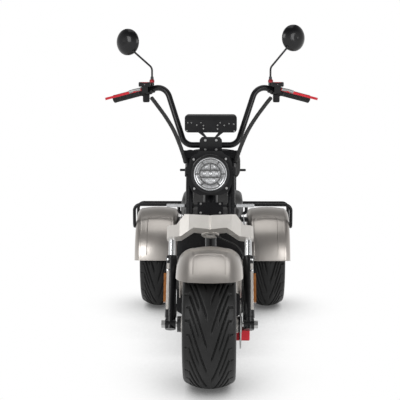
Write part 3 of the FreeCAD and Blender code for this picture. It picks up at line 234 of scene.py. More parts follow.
NODE_MATS = {
    "front_rim": "rim", "rear_rim_left": "rim", "rear_rim_right": "rim", "front_disc": "steel",
    "fork_crown": "crown", "steering_stem": "steel", "fork_tubes": "chrome", "fork_sliders": "slider",
    "front_axle": "steel", "front_caliper": "red", "front_fender": "fender", "fork_reflectors": "amber",
    "headlight_housing": "gloss", "headlight_bracket": "plastic", "front_signals": "clear_lens",
    "signal_bracket": "black", "bar_clamp": "black", "display_housing": "plastic",
    "display_arms": "black", "handlebar": "black", "master_cylinders": "gloss", "brake_levers": "red",
    "mirrors": "gloss", "mirror_glasses": "mirror", "brake_hose": "hose", "main_frame": "black",
    "floor_pan": "plastic", "battery": "plastic", "footboard": "deck", "body_shell": "gloss",
    "seat_pan": "plastic", "backrest_frame": "black", "rear_swingarm": "black",
    "rear_axle_housing": "black", "drive_motor": "alloy", "rear_shocks": "chrome",
    "rear_fender_left": "fender", "rear_fender_right": "fender", "grab_rail_left": "black",
    "grab_rail_right": "black", "tail_light": "tail", "rear_signals": "gloss",
    "plate_holder": "plastic", "grips": "grip", "cable_looms": "hose",
    "riser_tubes": "black", "switch_blocks": "plastic",
}
for node_name, mat_name in NODE_MATS.items():
    data = NODES[node_name].data
    data.materials.clear()
    data.materials.append(MATS[mat_name])


# ---- Mesh helpers -----------------------------------------------------------------

def new_piece(name, verts, faces, mat, body, smooth=True):
    mesh = bpy.data.meshes.new(name)
    mesh.from_pydata([tuple(v) for v in verts], [], faces)
    mesh.validate()
    mesh.materials.append(MATS[mat])
    for poly in mesh.polygons:
        poly.use_smooth = smooth
    piece = bpy.data.objects.new(name, mesh)
    bpy.context.scene.collection.objects.link(piece)
    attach(piece, body)
    return piece


class Build:
    """Collects joined solids of one material into one piece."""

    def __init__(self):
        self.verts = []
        self.faces = []

    def add(self, verts, faces):
        base = len(self.verts)
        self.verts += [Vector(v) for v in verts]
        self.faces += [[base + i for i in face] for face in faces]

    def lathe(self, origin, axis, profile, sides=32, ring=False):
        """Turned solid; profile is (distance along axis, radius) pairs from end to end.

        With ring the profile closes on itself and leaves the middle open.
        """
        axis = Vector(axis).normalized()
        across = axis.orthogonal().normalized()
        other = axis.cross(across)
        verts = []
        for along, radius in profile:
            for i in range(sides):
                a = math.tau * i / sides
                outward = across * math.cos(a) + other * math.sin(a)
                verts.append(Vector(origin) + axis * along + outward * radius)
        faces = []
        count = len(profile)
        for row in range(count if ring else count - 1):
            after = (row + 1) % count
            for i in range(sides):
                j = (i + 1) % sides
                faces.append([row * sides + i, row * sides + j, after * sides + j, after * sides + i])
        if not ring:
            faces.append(list(reversed(range(sides))))
            faces.append([(count - 1) * sides + i for i in range(sides)])
        self.add(verts, faces)

    def bolt(self, origin, axis, radius, height):
        """Socket-head bolt: round head with a chamfer and a sunk socket."""
        profile = [(0, radius), (height * 0.7, radius), (height, radius * 0.82), (height, radius * 0.5),
                   (height * 0.5, radius * 0.42)]
        self.lathe(origin, axis, profile, 18)

    def sweep(self, points, radius, sides=12, ribs=0.0, step=0.004, pitch=0.008):
        """Round tube through a smooth line; ribs is the height of its corrugations."""
        line = smooth_line(points, step)
        verts = []
        previous = None
        travelled = 0.0
        for index, point in enumerate(line):
            ahead = line[min(index + 1, len(line) - 1)]
            behind = line[max(index - 1, 0)]
            tangent = (ahead - behind).normalized()
            if index:
                travelled += (point - line[index - 1]).length
            across = tangent.orthogonal() if previous is None else previous - tangent * previous.dot(tangent)
            across.normalize()
            previous = across
            other = tangent.cross(across)
            r = radius + (ribs if (travelled / pitch) % 1 < 0.5 else 0.0)
            for i in range(sides):
                a = math.tau * i / sides
                verts.append(point + (across * math.cos(a) + other * math.sin(a)) * r)
        faces = []
        for ring in range(len(line) - 1):
            here = ring * sides
            after = here + sides
            for i in range(sides):
                j = (i + 1) % sides
                faces.append([here + i, here + j, after + j, after + i])
        faces.append(list(reversed(range(sides))))
        faces.append([(len(line) - 1) * sides + i for i in range(sides)])
        self.add(verts, faces)

    def plate(self, points, push):
        """Prism: a closed outline of 3-D points pushed along a vector."""
        count = len(points)
        verts = [Vector(p) for p in points] + [Vector(p) + Vector(push) for p in points]
        faces = [list(reversed(range(count))), [count + i for i in range(count)]]
        for i in range(count):
            j = (i + 1) % count
            faces.append([i, j, count + j, count + i])
        self.add(verts, faces)

    def piece(self, name, mat, body, bevel=0.0, smooth=True):
        built = new_piece(name, self.verts, self.faces, mat, body, smooth)
        bm = bmesh.new()
        bm.from_mesh(built.data)
        bmesh.ops.recalc_face_normals(bm, faces=bm.faces)
        bm.to_mesh(built.data)
        bm.free()
        if bevel:
            mod = built.modifiers.new("bevel", "BEVEL")
            mod.width = bevel
            mod.segments = 2
            mod.limit_method = "ANGLE"
        if smooth:
            built.data.set_sharp_from_angle(angle=math.radians(40))
        return built


def smooth_line(points, step):
    """Evenly spaced points on a smooth curve through the given ones."""
    pts = [Vector(p) for p in points]
    pts = [pts[0] * 2 - pts[1]] + pts + [pts[-1] * 2 - pts[-2]]
    line = []
    for i in range(1, len(pts) - 2):
        count = max(2, int((pts[i + 1] - pts[i]).length / step))
        for k in range(count):
            t = k / count
            a, b, c, d = pts[i - 1], pts[i], pts[i + 1], pts[i + 2]
            line.append(0.5 * (2 * b + (c - a) * t + (2 * a - 5 * b + 4 * c - d) * t * t
                               + (3 * b - a - 3 * c + d) * t ** 3))
    line.append(pts[-2])
    return line


# ---- Tyres ------------------------------------------------------------------------

def arc_points(a, b, c, count):
    """Points on the circle through three 2-D points, from a to c."""
    ax, ay = a
    bx, by = b
    cx, cy = c
    d = 2 * (ax * (by - cy) + bx * (cy - ay) + cx * (ay - by))
    aa = ax * ax + ay * ay
    bb = bx * bx + by * by
    cc = cx * cx + cy * cy
    ux = (aa * (by - cy) + bb * (cy - ay) + cc * (ay - by)) / d
    uy = (aa * (cx - bx) + bb * (ax - cx) + cc * (bx - ax)) / d
    r = math.hypot(ax - ux, ay - uy)
    start = math.atan2(ay - uy, ax - ux)
    mid = math.atan2(by - uy, bx - ux)
    end = math.atan2(cy - uy, cx - ux)
    turn = (end - start) % math.tau
    if (mid - start) % math.tau > turn:
        turn -= math.tau
    return [(ux + r * math.cos(start + turn * i / count), uy + r * math.sin(start + turn * i / count))
            for i in range(count + 1)]


# Tyre section: how far its shoulder and bead lie in from the side, and how far down from the crown
# its shoulder, the top of its wall, its tread and its bead are.
SHOULDER_IN = 0.016
BEAD_IN = 0.012
SHOULDER_DROP = 0.020
WALL_DROP = 0.042
TREAD_DROP = 0.030
BEAD_R = TYRE_R - 0.083


def half_profile(width, fine):
    """Tyre outline from the crown centre out and down to the bead, in (x, radius)."""
    half = width / 2
    shoulder = half - SHOULDER_IN
    edge_r = TYRE_R - SHOULDER_DROP
    wall_r = TYRE_R - WALL_DROP
    crown = arc_points((-shoulder, edge_r), (0, TYRE_R), (shoulder, edge_r), 2 * fine)[fine:]
    round_off = arc_points((shoulder, edge_r), (half - 0.004, TYRE_R - 0.029), (half, wall_r), 8)
    wall = arc_points((half, wall_r), (half - 0.004, BEAD_R + 0.024), (half - BEAD_IN, BEAD_R + 0.009), 12)
    return crown + round_off[1:] + wall[1:] + [(half - BEAD_IN, BEAD_R)]


# Tread: grooves on each half of the tyre, the angle that one runs round it before its hook, the share
# of the half width where the hook starts, the hook's own run, and how wide a groove's sloping edge is.
GROOVES = 14
SWEEP_ANGLE = math.radians(76)
HOOK = 0.72
HOOK_RUN = 0.12
GROOVE_EDGE = 0.0012


def lead_at(u):
    """Angle by which a groove runs ahead of its start at a share u of the half width."""
    return SWEEP_ANGLE * min(u, HOOK) + HOOK_RUN * max(0.0, u - HOOK)


def cut_depth(x, half, angle, start, end, deep, width, shift):
    """Depth of one family of steep grooves that hook outwards at the shoulder."""
    u = abs(x) / half
    if u < start or u > end:
        return 0.0
    slope = (lead_at(u + 0.01) - lead_at(u - 0.01)) / 0.02 / half * TYRE_R
    pitch = math.tau / GROOVES
    offset = shift * pitch if x > 0 else (shift + 0.5) * pitch
    away = ((angle - lead_at(u) - offset + pitch / 2) % pitch) - pitch / 2
    distance = abs(away) * TYRE_R / math.sqrt(1 + slope * slope)
    fade = min(1.0, (u - start) / 0.06, (end - u) / 0.05)
    return deep * fade * max(0.0, min(1.0, (width - distance) / GROOVE_EDGE))


def groove_depth(x, half, angle):
    """Long grooves from the centre and shorter ones between them on the outer half."""
    long_cut = cut_depth(x, half, angle, start=0.06, end=0.90, deep=0.0070, width=0.0036, shift=0.0)
    short_cut = cut_depth(x, half, angle, start=0.34, end=0.84, deep=0.0060, width=0.0030, shift=0.5)
    return max(long_cut, short_cut)


def tyre(name, node, body, around, fine):
    """Treaded tyre in place of a CAD one, with around steps round it and fine ones over half its crown."""
    low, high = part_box(node)
    width = high[0] - low[0]
    hub = centre(node)
    right = half_profile(width, fine)
    profile = [(-x, r) for x, r in reversed(right[1:])] + right
    rows = len(profile)
    verts = []
    for step in range(around):
        angle = math.tau * step / around
        for x, r in profile:
            if r > TYRE_R - TREAD_DROP:
                r -= groove_depth(x, width / 2, angle)
            verts.append((hub.x + x, hub.y - r * math.cos(angle), hub.z + r * math.sin(angle)))
    faces = []
    for step in range(around):
        here = step * rows
        after = ((step + 1) % around) * rows
        for row in range(rows - 1):
            faces.append((here + row, here + row + 1, after + row + 1, after + row))
        faces.append((here + rows - 1, here, after, after + rows - 1))
    piece = new_piece(name, verts, faces, "tyre", body)
    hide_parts(node)


tyre("front_tyre_tread", "front_tyre", "front_wheel", 720, 38)
tyre("rear_tyre_tread_left", "rear_tyre_left", "rear_wheel_left", 540, 26)
tyre("rear_tyre_tread_right", "rear_tyre_right", "rear_wheel_right", 540, 26)


# ---- Seat and back pad ------------------------------------------------------------

RING_POINTS = 72


def soft_block(name, node, body, outline_at, rows):
    """Closed crowned cushion lofted from cross-sections along Y."""
    verts = []
    for i in range(rows + 1):
        ring = outline_at(i / rows)
        verts += ring
    size = len(ring)
    faces = []
    for i in range(rows):
        for k in range(size):
            j = (k + 1) % size
            faces.append((i * size + k, i * size + j, (i + 1) * size + j, (i + 1) * size + k))
    faces.append(tuple(reversed(range(size))))
    faces.append(tuple(rows * size + k for k in range(size)))
    piece = new_piece(name, verts, faces, "leather", body)
    bm = bmesh.new()
    bm.from_mesh(piece.data)
    bmesh.ops.recalc_face_normals(bm, faces=bm.faces)
    bm.to_mesh(piece.data)
    bm.free()
    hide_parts(node)


def super_ring(cx, y, cz, half_x, half_z, power, lift=None):
    """Cross-section at y, rounder the nearer power is to 2; lift moves its points up or down."""
    ring = []
    for k in range(RING_POINTS):
        a = math.tau * k / RING_POINTS
        c, s = math.cos(a), math.sin(a)
        x = cx + half_x * math.copysign(abs(c) ** (2 / power), c)
        z = cz + half_z * math.copysign(abs(s) ** (2 / power), s)
        if lift:
            z = lift(x, z)
        ring.append((x, y, z))
    return ring


def seat():
    """Stepped cushion with sewn channels: a long front part and a raised rear one."""
    low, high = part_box("seat")
    length = high[1] - low[1]
    half = (high[0] - low[0]) / 2 - 0.004
    base = low[2] + 0.001
    rider_top = high[2] - 0.026
    step_at = 0.53

    def at(t):
        y = low[1] + 0.002 + (length - 0.004) * t
        edge = min(t / 0.09, (1 - t) / 0.07, 1.0)
        puff = math.sqrt(max(0.0, 1 - (1 - edge) ** 2))
        rise = 1 / (1 + math.exp(-(t - step_at) * 26))
        top = rider_top - 0.010 * math.sin(math.pi * min(t / step_at, 1)) + 0.024 * rise
        channel = 0.0
        for seam in (0.12, 0.20, 0.28, 0.36, 0.44, 0.62, 0.70, 0.78, 0.86):
            channel += math.exp(-((t - seam) / 0.006) ** 2)
        width = half * (0.84 + 0.16 * min(1.0, t / 0.4)) * (0.93 + 0.07 * puff)
        height = (top - base) * (0.35 + 0.65 * puff)
        mid = base + height / 2

        def lift(x, z):
            u = abs(x) / width
            if z > mid:
                z -= 0.004 * channel * max(0.0, 1 - (u / 0.72) ** 6)
                z += 0.005 * (1 - u * u)
            return min(z, high[2] - 0.0005)

        return super_ring(0, y, mid, width, height / 2, 4.2, lift)

    soft_block("seat_cushion", "seat", "seat_lid", at, 180)


def backrest():
    """Oblong pad, domed towards the rider, with a seam round it."""
    low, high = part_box("backrest")
    cx = (low[0] + high[0]) / 2
    depth = high[1] - low[1]
    half_x = (high[0] - low[0]) / 2 - 0.003
    half_z = (high[2] - low[2]) / 2 - 0.003
    cz = (low[2] + high[2]) / 2

    def at(t):
        y = low[1] + 0.001 + (depth - 0.002) * t
        edge = min(t / 0.45, (1 - t) / 0.3, 1.0)
        puff = math.sqrt(max(0.0, 1 - (1 - edge) ** 2))
        seam = math.exp(-((t - 0.62) / 0.02) ** 2) * 0.003
        return super_ring(cx, y, cz, half_x * (0.55 + 0.45 * puff) - seam,
                          half_z * (0.42 + 0.58 * puff) - seam, 3.6)

    soft_block("backrest_cushion", "backrest", "chassis", at, 48)


seat()
backrest()


# ---- Headlight --------------------------------------------------------------------

BACK = Vector((0, 1, 0))
LAMP_RIM = 0.010
LAMP_BOWL = 0.028
LAMP_SIDES = 72
LAMP_LOW, LAMP_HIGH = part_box("headlight_housing")
LAMP_RADIUS = (LAMP_HIGH[0] - LAMP_LOW[0]) / 2
OPENING = LAMP_RADIUS - LAMP_RIM
MOUTH = Vector((centre("headlight_housing").x, LAMP_LOW[1], centre("headlight_housing").z))
INNER_RING = 0.041
OUTER_RING = 0.0585


def lamp_shell():
    """Rolled bezel round the opening, and the bowl behind it."""
    bezel = Build()
    rolled = [(0.004, OPENING - 0.0005), (0.0008, OPENING + 0.0008), (-0.0008, OPENING + 0.003),
              (-0.0008, LAMP_RADIUS - 0.004), (0.0008, LAMP_RADIUS - 0.0008),
              (0.005, LAMP_RADIUS + 0.0002), (0.0055, LAMP_RADIUS - 0.001)]
    bezel.lathe(MOUTH, BACK, rolled, LAMP_SIDES, ring=True)
    bezel.piece("headlight_bezel", "gloss", "steering")

    bowl = Build()
    hollow = [(0, OPENING - 0.001), (LAMP_BOWL - 0.0085, OPENING - 0.0012),
              (LAMP_BOWL - 0.0090, OPENING - 0.004), (0.006, OPENING - 0.016), (0.003, 0.036), (0.003, 0.004)]
    bowl.lathe(MOUTH + BACK * (LAMP_BOWL - 0.0006), -BACK, hollow, LAMP_SIDES)
    bowl.piece("headlight_reflector", "reflector", "steering")


def upright(place, left, right, bottom, top):
    """Rectangle square to the lamp's axis, measured from a place."""
    return [place + Vector((left, 0, bottom)), place + Vector((right, 0, bottom)),
            place + Vector((right, 0, top)), place + Vector((left, 0, top))]


def lamp_frame():
    """Black frame in the bowl: two rings, spokes between them, two cross bars and an upright."""
    inner = Build()
    for ring_r, wide, ahead in ((INNER_RING, 0.0034, 0.0135), (OUTER_RING, 0.0024, 0.0115)):
        loop = []
        for i in range(LAMP_SIDES + 1):
            a = math.tau * i / LAMP_SIDES
            loop.append(MOUTH + BACK * ahead + Vector((ring_r * math.cos(a), 0, ring_r * math.sin(a))))
        inner.sweep(loop, wide, 8, step=0.006)
    front = MOUTH + BACK * 0.0105
    for angle in (0, 55, 125, 180, 232, 308):
        a = math.radians(angle)
        outward = Vector((math.cos(a), 0, math.sin(a)))
        side = Vector((-math.sin(a), 0, math.cos(a))) * 0.0026
        start = front + outward * 0.042
        end = front + outward * 0.060
        inner.plate([start - side, end - side, end + side, start + side], BACK * 0.007)
    for level in (0.014, -0.013):
        reach = math.sqrt(INNER_RING ** 2 - level ** 2)
        inner.plate(upright(front + Vector((0, 0, level)), -reach, reach, -0.0032, 0.0032), BACK * 0.008)
    inner.plate(upright(front, -0.0026, 0.0026, 0.014, 0.040), BACK * 0.008)
    inner.piece("headlight_inner_frame", "gloss", "steering", 0.0006)


def lamp_leds():
    """Seven domed lights in three rows."""
    leds = Build()
    dome = [(0, 0.0095), (0.004, 0.0092), (0.0075, 0.006), (0.0090, 0.001)]
    for x, z in ((-0.017, 0.027), (0.017, 0.027), (-0.024, 0.0), (0, 0.0), (0.024, 0.0), (-0.013, -0.027),
                 (0.013, -0.027)):
        leds.lathe(MOUTH + BACK * 0.0240 + Vector((x, 0, z)), -BACK, dome, 24)
    leds.piece("headlight_leds", "reflector", "steering")


def lamp_glass():
    """Domed glass inside the bezel."""
    lens = Build()
    dome = [(0, OPENING - 0.001), (0.0012, OPENING - 0.001), (0.0048, OPENING - 0.014), (0.0068, 0.030),
            (0.0074, 0.001)]
    lens.lathe(MOUTH + BACK * 0.0056, -BACK, dome, LAMP_SIDES)
    glass_piece = lens.piece("headlight_glass", "glass", "steering")
    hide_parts("headlight_lens")


def lamp_trim():
    """Bead along the rim's upper half, and four bolts round the bowl."""
    visor = Build()
    reach = LAMP_RADIUS - 0.001
    arc = []
    for k in range(25):
        a = math.radians(28 + 124 * k / 24)
        arc.append(MOUTH + Vector((math.cos(a) * reach, -0.0005, math.sin(a) * reach)))
    visor.sweep(arc, 0.0028, 8, step=0.004)
    visor.piece("headlight_visor", "gloss", "steering")

    bolts = Build()
    face = MOUTH.y + 0.024
    for x, z in ((-0.065, 0.056), (0.060, 0.058), (-0.063, -0.058), (0.063, -0.056)):
        bolts.bolt(Vector((MOUTH.x + x, face, MOUTH.z + z)), -BACK, 0.0050, 0.006)
    bolts.piece("headlight_bolts", "steel", "steering")


lamp_shell()
lamp_frame()
lamp_leds()
lamp_glass()
lamp_trim()


# ---- Display and bracket trim -----------------------------------------------------

def display_trim():
    """Screws over the display's face, placed by shares of it, and the dial on its top."""
    low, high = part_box("display_housing")
    screws = Build()
    width = high[0] - low[0]
    face = low[1] + 0.0045
    spots = [(0.06, 0.76), (0.13, 0.77), (0.31, 0.79), (0.23, 0.58), (0.36, 0.55), (0.36, 0.30), (0.68, 0.77),
             (0.63, 0.57), (0.63, 0.28), (0.76, 0.56), (0.85, 0.70), (0.94, 0.66), (0.04, 0.14), (0.95, 0.12)]
    for u, v in spots:
        spot = Vector((low[0] + width * u, face, low[2] + (high[2] - low[2]) * v * 0.72))
        screws.bolt(spot, (0, -1, 0), 0.0030, 0.0035)
    screws.piece("display_screws", "steel", "steering")

    dial = Build()
    top = Vector(((low[0] + high[0]) / 2, high[1] - 0.012, low[2] + 0.04))
    dial.lathe(top + Vector((0, 0, 0.006)), (0, 1, 0.1), [(0, 0.026), (0.006, 0.026), (0.007, 0.022)], 40)
    dial.piece("display_dial", "gloss", "steering")


CLAMP_FACE = 0.347
LAMP_BRACKET = 0.333


def bracket_trim():
    """Four bolts on the bar clamp's face plate, and two a side up the lamp bracket."""
    bolts = Build()
    face_y = FRONT_HUB.y + CLAMP_FACE
    for x in (-0.022, 0.022):
        for z in (BAR_Z + 0.021, BAR_Z - 0.017):
            bolts.bolt(Vector((x, face_y, z)), (0, -1, 0), 0.0058, 0.006)
    for x in (-0.0376, 0.0376):
        for up in (0.145, 0.108):
            bolts.bolt(fork_point(x, -0.005, LAMP_BRACKET + up), FORK_FRONT, 0.0048, 0.005)
    bolts.piece("bracket_bolts", "steel", "steering")


display_trim()
bracket_trim()


# ---- Fork trim --------------------------------------------------------------------

STRIP_START = 0.052
STRIP_END = 0.232


def fork_trim():
    """Bright strips down the sliders, which are a painted highlight, studs on them, and the spacers between
    hub and legs.
    """
    strips = Build()
    balls = Build()
    for side in (-1, 1):
        # The strips are a painted highlight: bright bars on the sliders' outer sides, where the black legs
        # only catch light.
        x = side * (LEG_X + 0.0125)
        foot = fork_point(x, -0.0165, STRIP_START)
        across = Vector((side * 0.0052, 0, 0))
        run = FORK_UP * (STRIP_END - STRIP_START)
        strips.plate([foot - across, foot + across, foot + across + run, foot - across + run],
                     FORK_FRONT * 0.004)
        for along in (0.205, 0.248):
            balls.lathe(fork_point(x, -0.018, along), FORK_FRONT,
                        [(0, 0.0055), (0.003, 0.0055), (0.0055, 0.004), (0.0065, 0.001)], 18)
    strips.piece("fork_painted_highlight_strips", "crown", "steering", 0.001)
    balls.piece("fork_studs", "chrome", "steering")
    spacers = Build()
    for side in (-1, 1):
        spacers.lathe(Vector((side * 0.098, FRONT_HUB.y, TYRE_R)), (side, 0, 0),
                      [(0, 0.0315), (0.008, 0.0315), (0.011, 0.024), (0.0225, 0.024)], 32)
    spacers.piece("hub_spacers", "crown", "front_wheel")


fork_trim()


# ---- Fender panels ----------------------------------------------------------------

# The arched sections of the part's source: radius of the rounded corners and of the crown.
FRONT_HALF = 0.1215
FRONT_CORNER = 0.066
FRONT_CROWN = 0.291
REAR_CORNER = 0.032
REAR_CROWN = 0.268
ARCH_DROP = 0.006
PANEL_WIDTH = 0.116


def on_fender(hub, x, radius, angle):
    """Point over a wheel: x from its middle, angle in degrees up from the front."""
    a = math.radians(angle)
    return Vector((hub.x + x, hub.y - radius * math.cos(a), hub.z + radius * math.sin(a)))


def crown_height(x, half, corner, crown):
    """Outer radius of the arched fender section at x from its middle."""
    flat = half - corner
    if abs(x) <= flat:
        return crown - ARCH_DROP * (x / flat) ** 2
    return crown - ARCH_DROP - corner + math.sqrt(max(0.0, corner ** 2 - (abs(x) - flat) ** 2))


def panel_line(hub, half, corner, crown, low_angle, high_angle, shift):
    """Inverted-U pressing line on a fender's front face."""
    width = PANEL_WIDTH
    r = 0.012
    points = []
    for k in range(9):
        angle = low_angle + (high_angle - low_angle - 5) * k / 8
        points.append((shift - width / 2, angle))
    points += [(shift - width / 2 + r * 0.35, high_angle - 1.6), (shift - width / 2 + r, high_angle)]
    points += [(shift - width / 2 + width * k / 6, high_angle) for k in (1.5, 3, 4.5)]
    points += [(shift + width / 2 - r, high_angle), (shift + width / 2 - r * 0.35, high_angle - 1.6)]
    for k in range(9):
        angle = high_angle - 5 - (high_angle - low_angle - 5) * k / 8
        points.append((shift + width / 2, angle))
    return [on_fender(hub, x, crown_height(x, half, corner, crown) - 0.0009, angle) for x, angle in points]


def edge_line(hub, half, corner, crown, skirt, angle):
    """Rolled lip along a fender's end, from skirt to skirt."""
    points = [on_fender(hub, -half, skirt, angle)]
    for k in range(25):
        x = -half + 2 * half * k / 24
        points.append(on_fender(hub, x * 0.999, crown_height(x * 0.999, half, corner, crown), angle))
    points.append(on_fender(hub, half, skirt, angle))
    return points


def fender_trim():
    """Pressing lines on all three fenders, and the rear ones' side creases and front lips."""
    front = Build()
    front.sweep(panel_line(FRONT_HUB, FRONT_HALF, FRONT_CORNER, FRONT_CROWN, 52, 74, 0), 0.0022, 8,
                step=0.006)
    front.piece("front_fender_panel", "fender", "steering")
    for label, side in (("left", 1), ("right", -1)):
        low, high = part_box("rear_fender_" + label)
        hub = Vector(((low[0] + high[0]) / 2, REAR_HUB[label].y, TYRE_R))
        half = (high[0] - low[0]) / 2
        panel = Build()
        panel.sweep(panel_line(hub, half, REAR_CORNER, REAR_CROWN, 14, 62, -side * 0.014), 0.0022, 8,
                    step=0.008)
        crease = []
        for k in range(20):
            angle = 10 + 160 * k / 19
            x = side * (half - 0.022)
            radius = crown_height(x, half, REAR_CORNER, REAR_CROWN) - 0.001
            crease.append(on_fender(hub, x, radius, angle))
        panel.sweep(crease, 0.0020, 8, step=0.01)
        panel.piece("rear_fender_panel_" + label, "fender", "chassis")
        lip = Build()
        lip.sweep(edge_line(hub, half - 0.0014, REAR_CORNER, REAR_CROWN - 0.0015, 0.207, 8.6), 0.0024, 8,
                  step=0.008)
        lip.piece("rear_fender_lip_" + label, "fender", "chassis")


fender_trim()


# ---- Controls ---------------------------------------------------------------------

BAR_Y = FRONT_HUB.y + BAR_BACK
CAP_HALF_X = 0.0245
CAP_HALF_Y = 0.0165
CAP_POWER = 0.6


def bent(value):
    """Cosine or sine drawn towards a square outline."""
    return math.copysign(abs(value) ** CAP_POWER, value)


def controls():
    """Reservoir caps and their rims, lever roots, and collars at the mirrors' feet."""
    caps = Build()
    rims = Build()
    roots = Build()
    boots = Build()
    low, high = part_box("master_cylinders")
    lever_low, lever_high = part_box("brake_levers")
    top = high[2]
    y = low[1] + 0.017
    up = (0, 0, 1)
    for side in (-1, 1):
        x = side * (high[0] - 0.025)
        rims.lathe(Vector((x, y, top - 0.0135)), up, [(0, 0.0168), (0.004, 0.0172), (0.0045, 0.0165)], 32)
        outline = []
        for k in range(28):
            a = math.tau * k / 28
            outline.append((x + CAP_HALF_X * bent(math.cos(a)), y + CAP_HALF_Y * bent(math.sin(a)),
                            top - 0.009))
        caps.plate(outline, (0, 0, 0.0092))
        root = Vector((side * 0.288, lever_low[1] + 0.004, lever_high[2] - 0.004))
        tip = Vector((side * 0.335, lever_low[1] + 0.008, lever_high[2] - 0.0155))
        roots.sweep([root, (root + tip) / 2 + Vector((0, 0, 0.0012)), tip], 0.0068, 12, step=0.006)
        foot = Vector((side * 0.2440, BAR_Y + 0.1045, BAR_Z + 0.239))
        boots.lathe(foot + Vector((0, 0, 0.012)), up, [(0, 0.0105), (0.010, 0.0100), (0.012, 0.0082)], 28)
    caps.piece("fluid_caps", "cup_red", "steering", 0.002)
    rims.piece("fluid_cap_rims", "steel", "steering")
    roots.piece("lever_roots", "alloy", "steering")
    boots.piece("mirror_collars", "cup_red", "steering")


controls()


# Route of one loom, as in the part's source: out from the middle, back from the clamp, and height.
LOOM_ROUTE = [(0.244, 0.080, 1.074), (0.222, 0.056, 1.048), (0.182, 0.024, 0.996),
              (0.148, -0.020, 0.944), (0.121, -0.075, 0.888), (0.0975, -0.101, 0.822)]


def looms():
    """Corrugated conduits from the switches down to the bar clamp."""
    conduit = Build()
    for side in (-1, 1):
        conduit.sweep([(side * x, BAR_Y + y, z) for x, y, z in LOOM_ROUTE], 0.0072, 14, ribs=0.0012,
                      step=0.002, pitch=0.0052)
    piece = conduit.piece("loom_conduits", "hose", "steering", smooth=False)
    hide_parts("cable_looms")


looms()


GRIP_RIBS = 25
GRIP_PITCH = 0.0045
GRIP_VALLEY = 0.0154
GRIP_PEAK = 0.0164


def grip_sleeves():
    """Ribbed grips with an end flange."""
    built = Build()
    profile = [(0.001, 0.006), (0.001, 0.0168), (0.006, 0.0168), (0.007, 0.0155)]
    for k in range(GRIP_RIBS):
        base = 0.009 + k * GRIP_PITCH
        profile += [(base, GRIP_VALLEY), (base + 0.001, GRIP_PEAK), (base + 0.0026, GRIP_PEAK),
                    (base + 0.0034, GRIP_VALLEY)]
    profile += [(0.1250, 0.0168), (0.1300, 0.0168), (0.1305, 0.0135)]
    for side in (-1, 1):
        tip = Vector((side * 0.400, BAR_Y + 0.171, BAR_Z + 0.184))
        run = (Vector((side * 0.186, BAR_Y + 0.080, BAR_Z + 0.239)) - tip).normalized()
        built.lathe(tip - run * 0.008, run, profile, 28)
    piece = built.piece("grip_sleeves", "grip", "steering")
    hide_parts("grips")


grip_sleeves()


# ---- Springs and deck ribs --------------------------------------------------------

SPRING_X = 0.110
SPRING_R = 0.0215
SPRING_TURNS = 7
TURN_STEPS = 14


def springs():
    """Red coils round the two rear shocks."""
    low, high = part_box("rear_shocks")
    axle_y = REAR_HUB["left"].y
    coil = Build()
    for side in (-1, 1):
        bottom = Vector((side * SPRING_X, axle_y - 0.030, low[2] + 0.018))
        top = Vector((side * SPRING_X, axle_y - 0.081, high[2] - 0.018))
        axis = (top - bottom).normalized()
        across = Vector((1, 0, 0))
        other = axis.cross(across)
        points = []
        steps = SPRING_TURNS * TURN_STEPS
        for i in range(steps + 1):
            a = math.tau * i / TURN_STEPS
            outward = (across * math.cos(a) + other * math.sin(a)) * SPRING_R
            points.append(bottom + (top - bottom) * (i / steps) + outward)
        coil.sweep(points, 0.0036, 8, step=0.01)
    coil.piece("shock_springs", "red", "chassis")


RIB_COUNT = 13
RIB_HALF = 0.004
RIB_SINK = 0.0002


def deck_ribs():
    """Raised strips along the footboard, with a bare gap down its middle."""
    low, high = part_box("footboard")
    ribs = Build()
    front = low[1] + 0.075
    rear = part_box("body_shell")[0][1] - 0.012
    z = high[2] - RIB_SINK
    for k in range(RIB_COUNT):
        x = low[0] + 0.02 + (high[0] - low[0] - 0.04) * k / (RIB_COUNT - 1)
        if abs(x) < 0.03:
            continue
        ribs.plate([(x - RIB_HALF, front, z), (x + RIB_HALF, front, z), (x + RIB_HALF, rear, z),
                    (x - RIB_HALF, rear, z)], (0, 0, 0.0028))
    ribs.piece("deck_ribs", "deck", "chassis", 0.0008)


springs()
deck_ribs()


# ---- Stage, light and camera ------------------------------------------------------

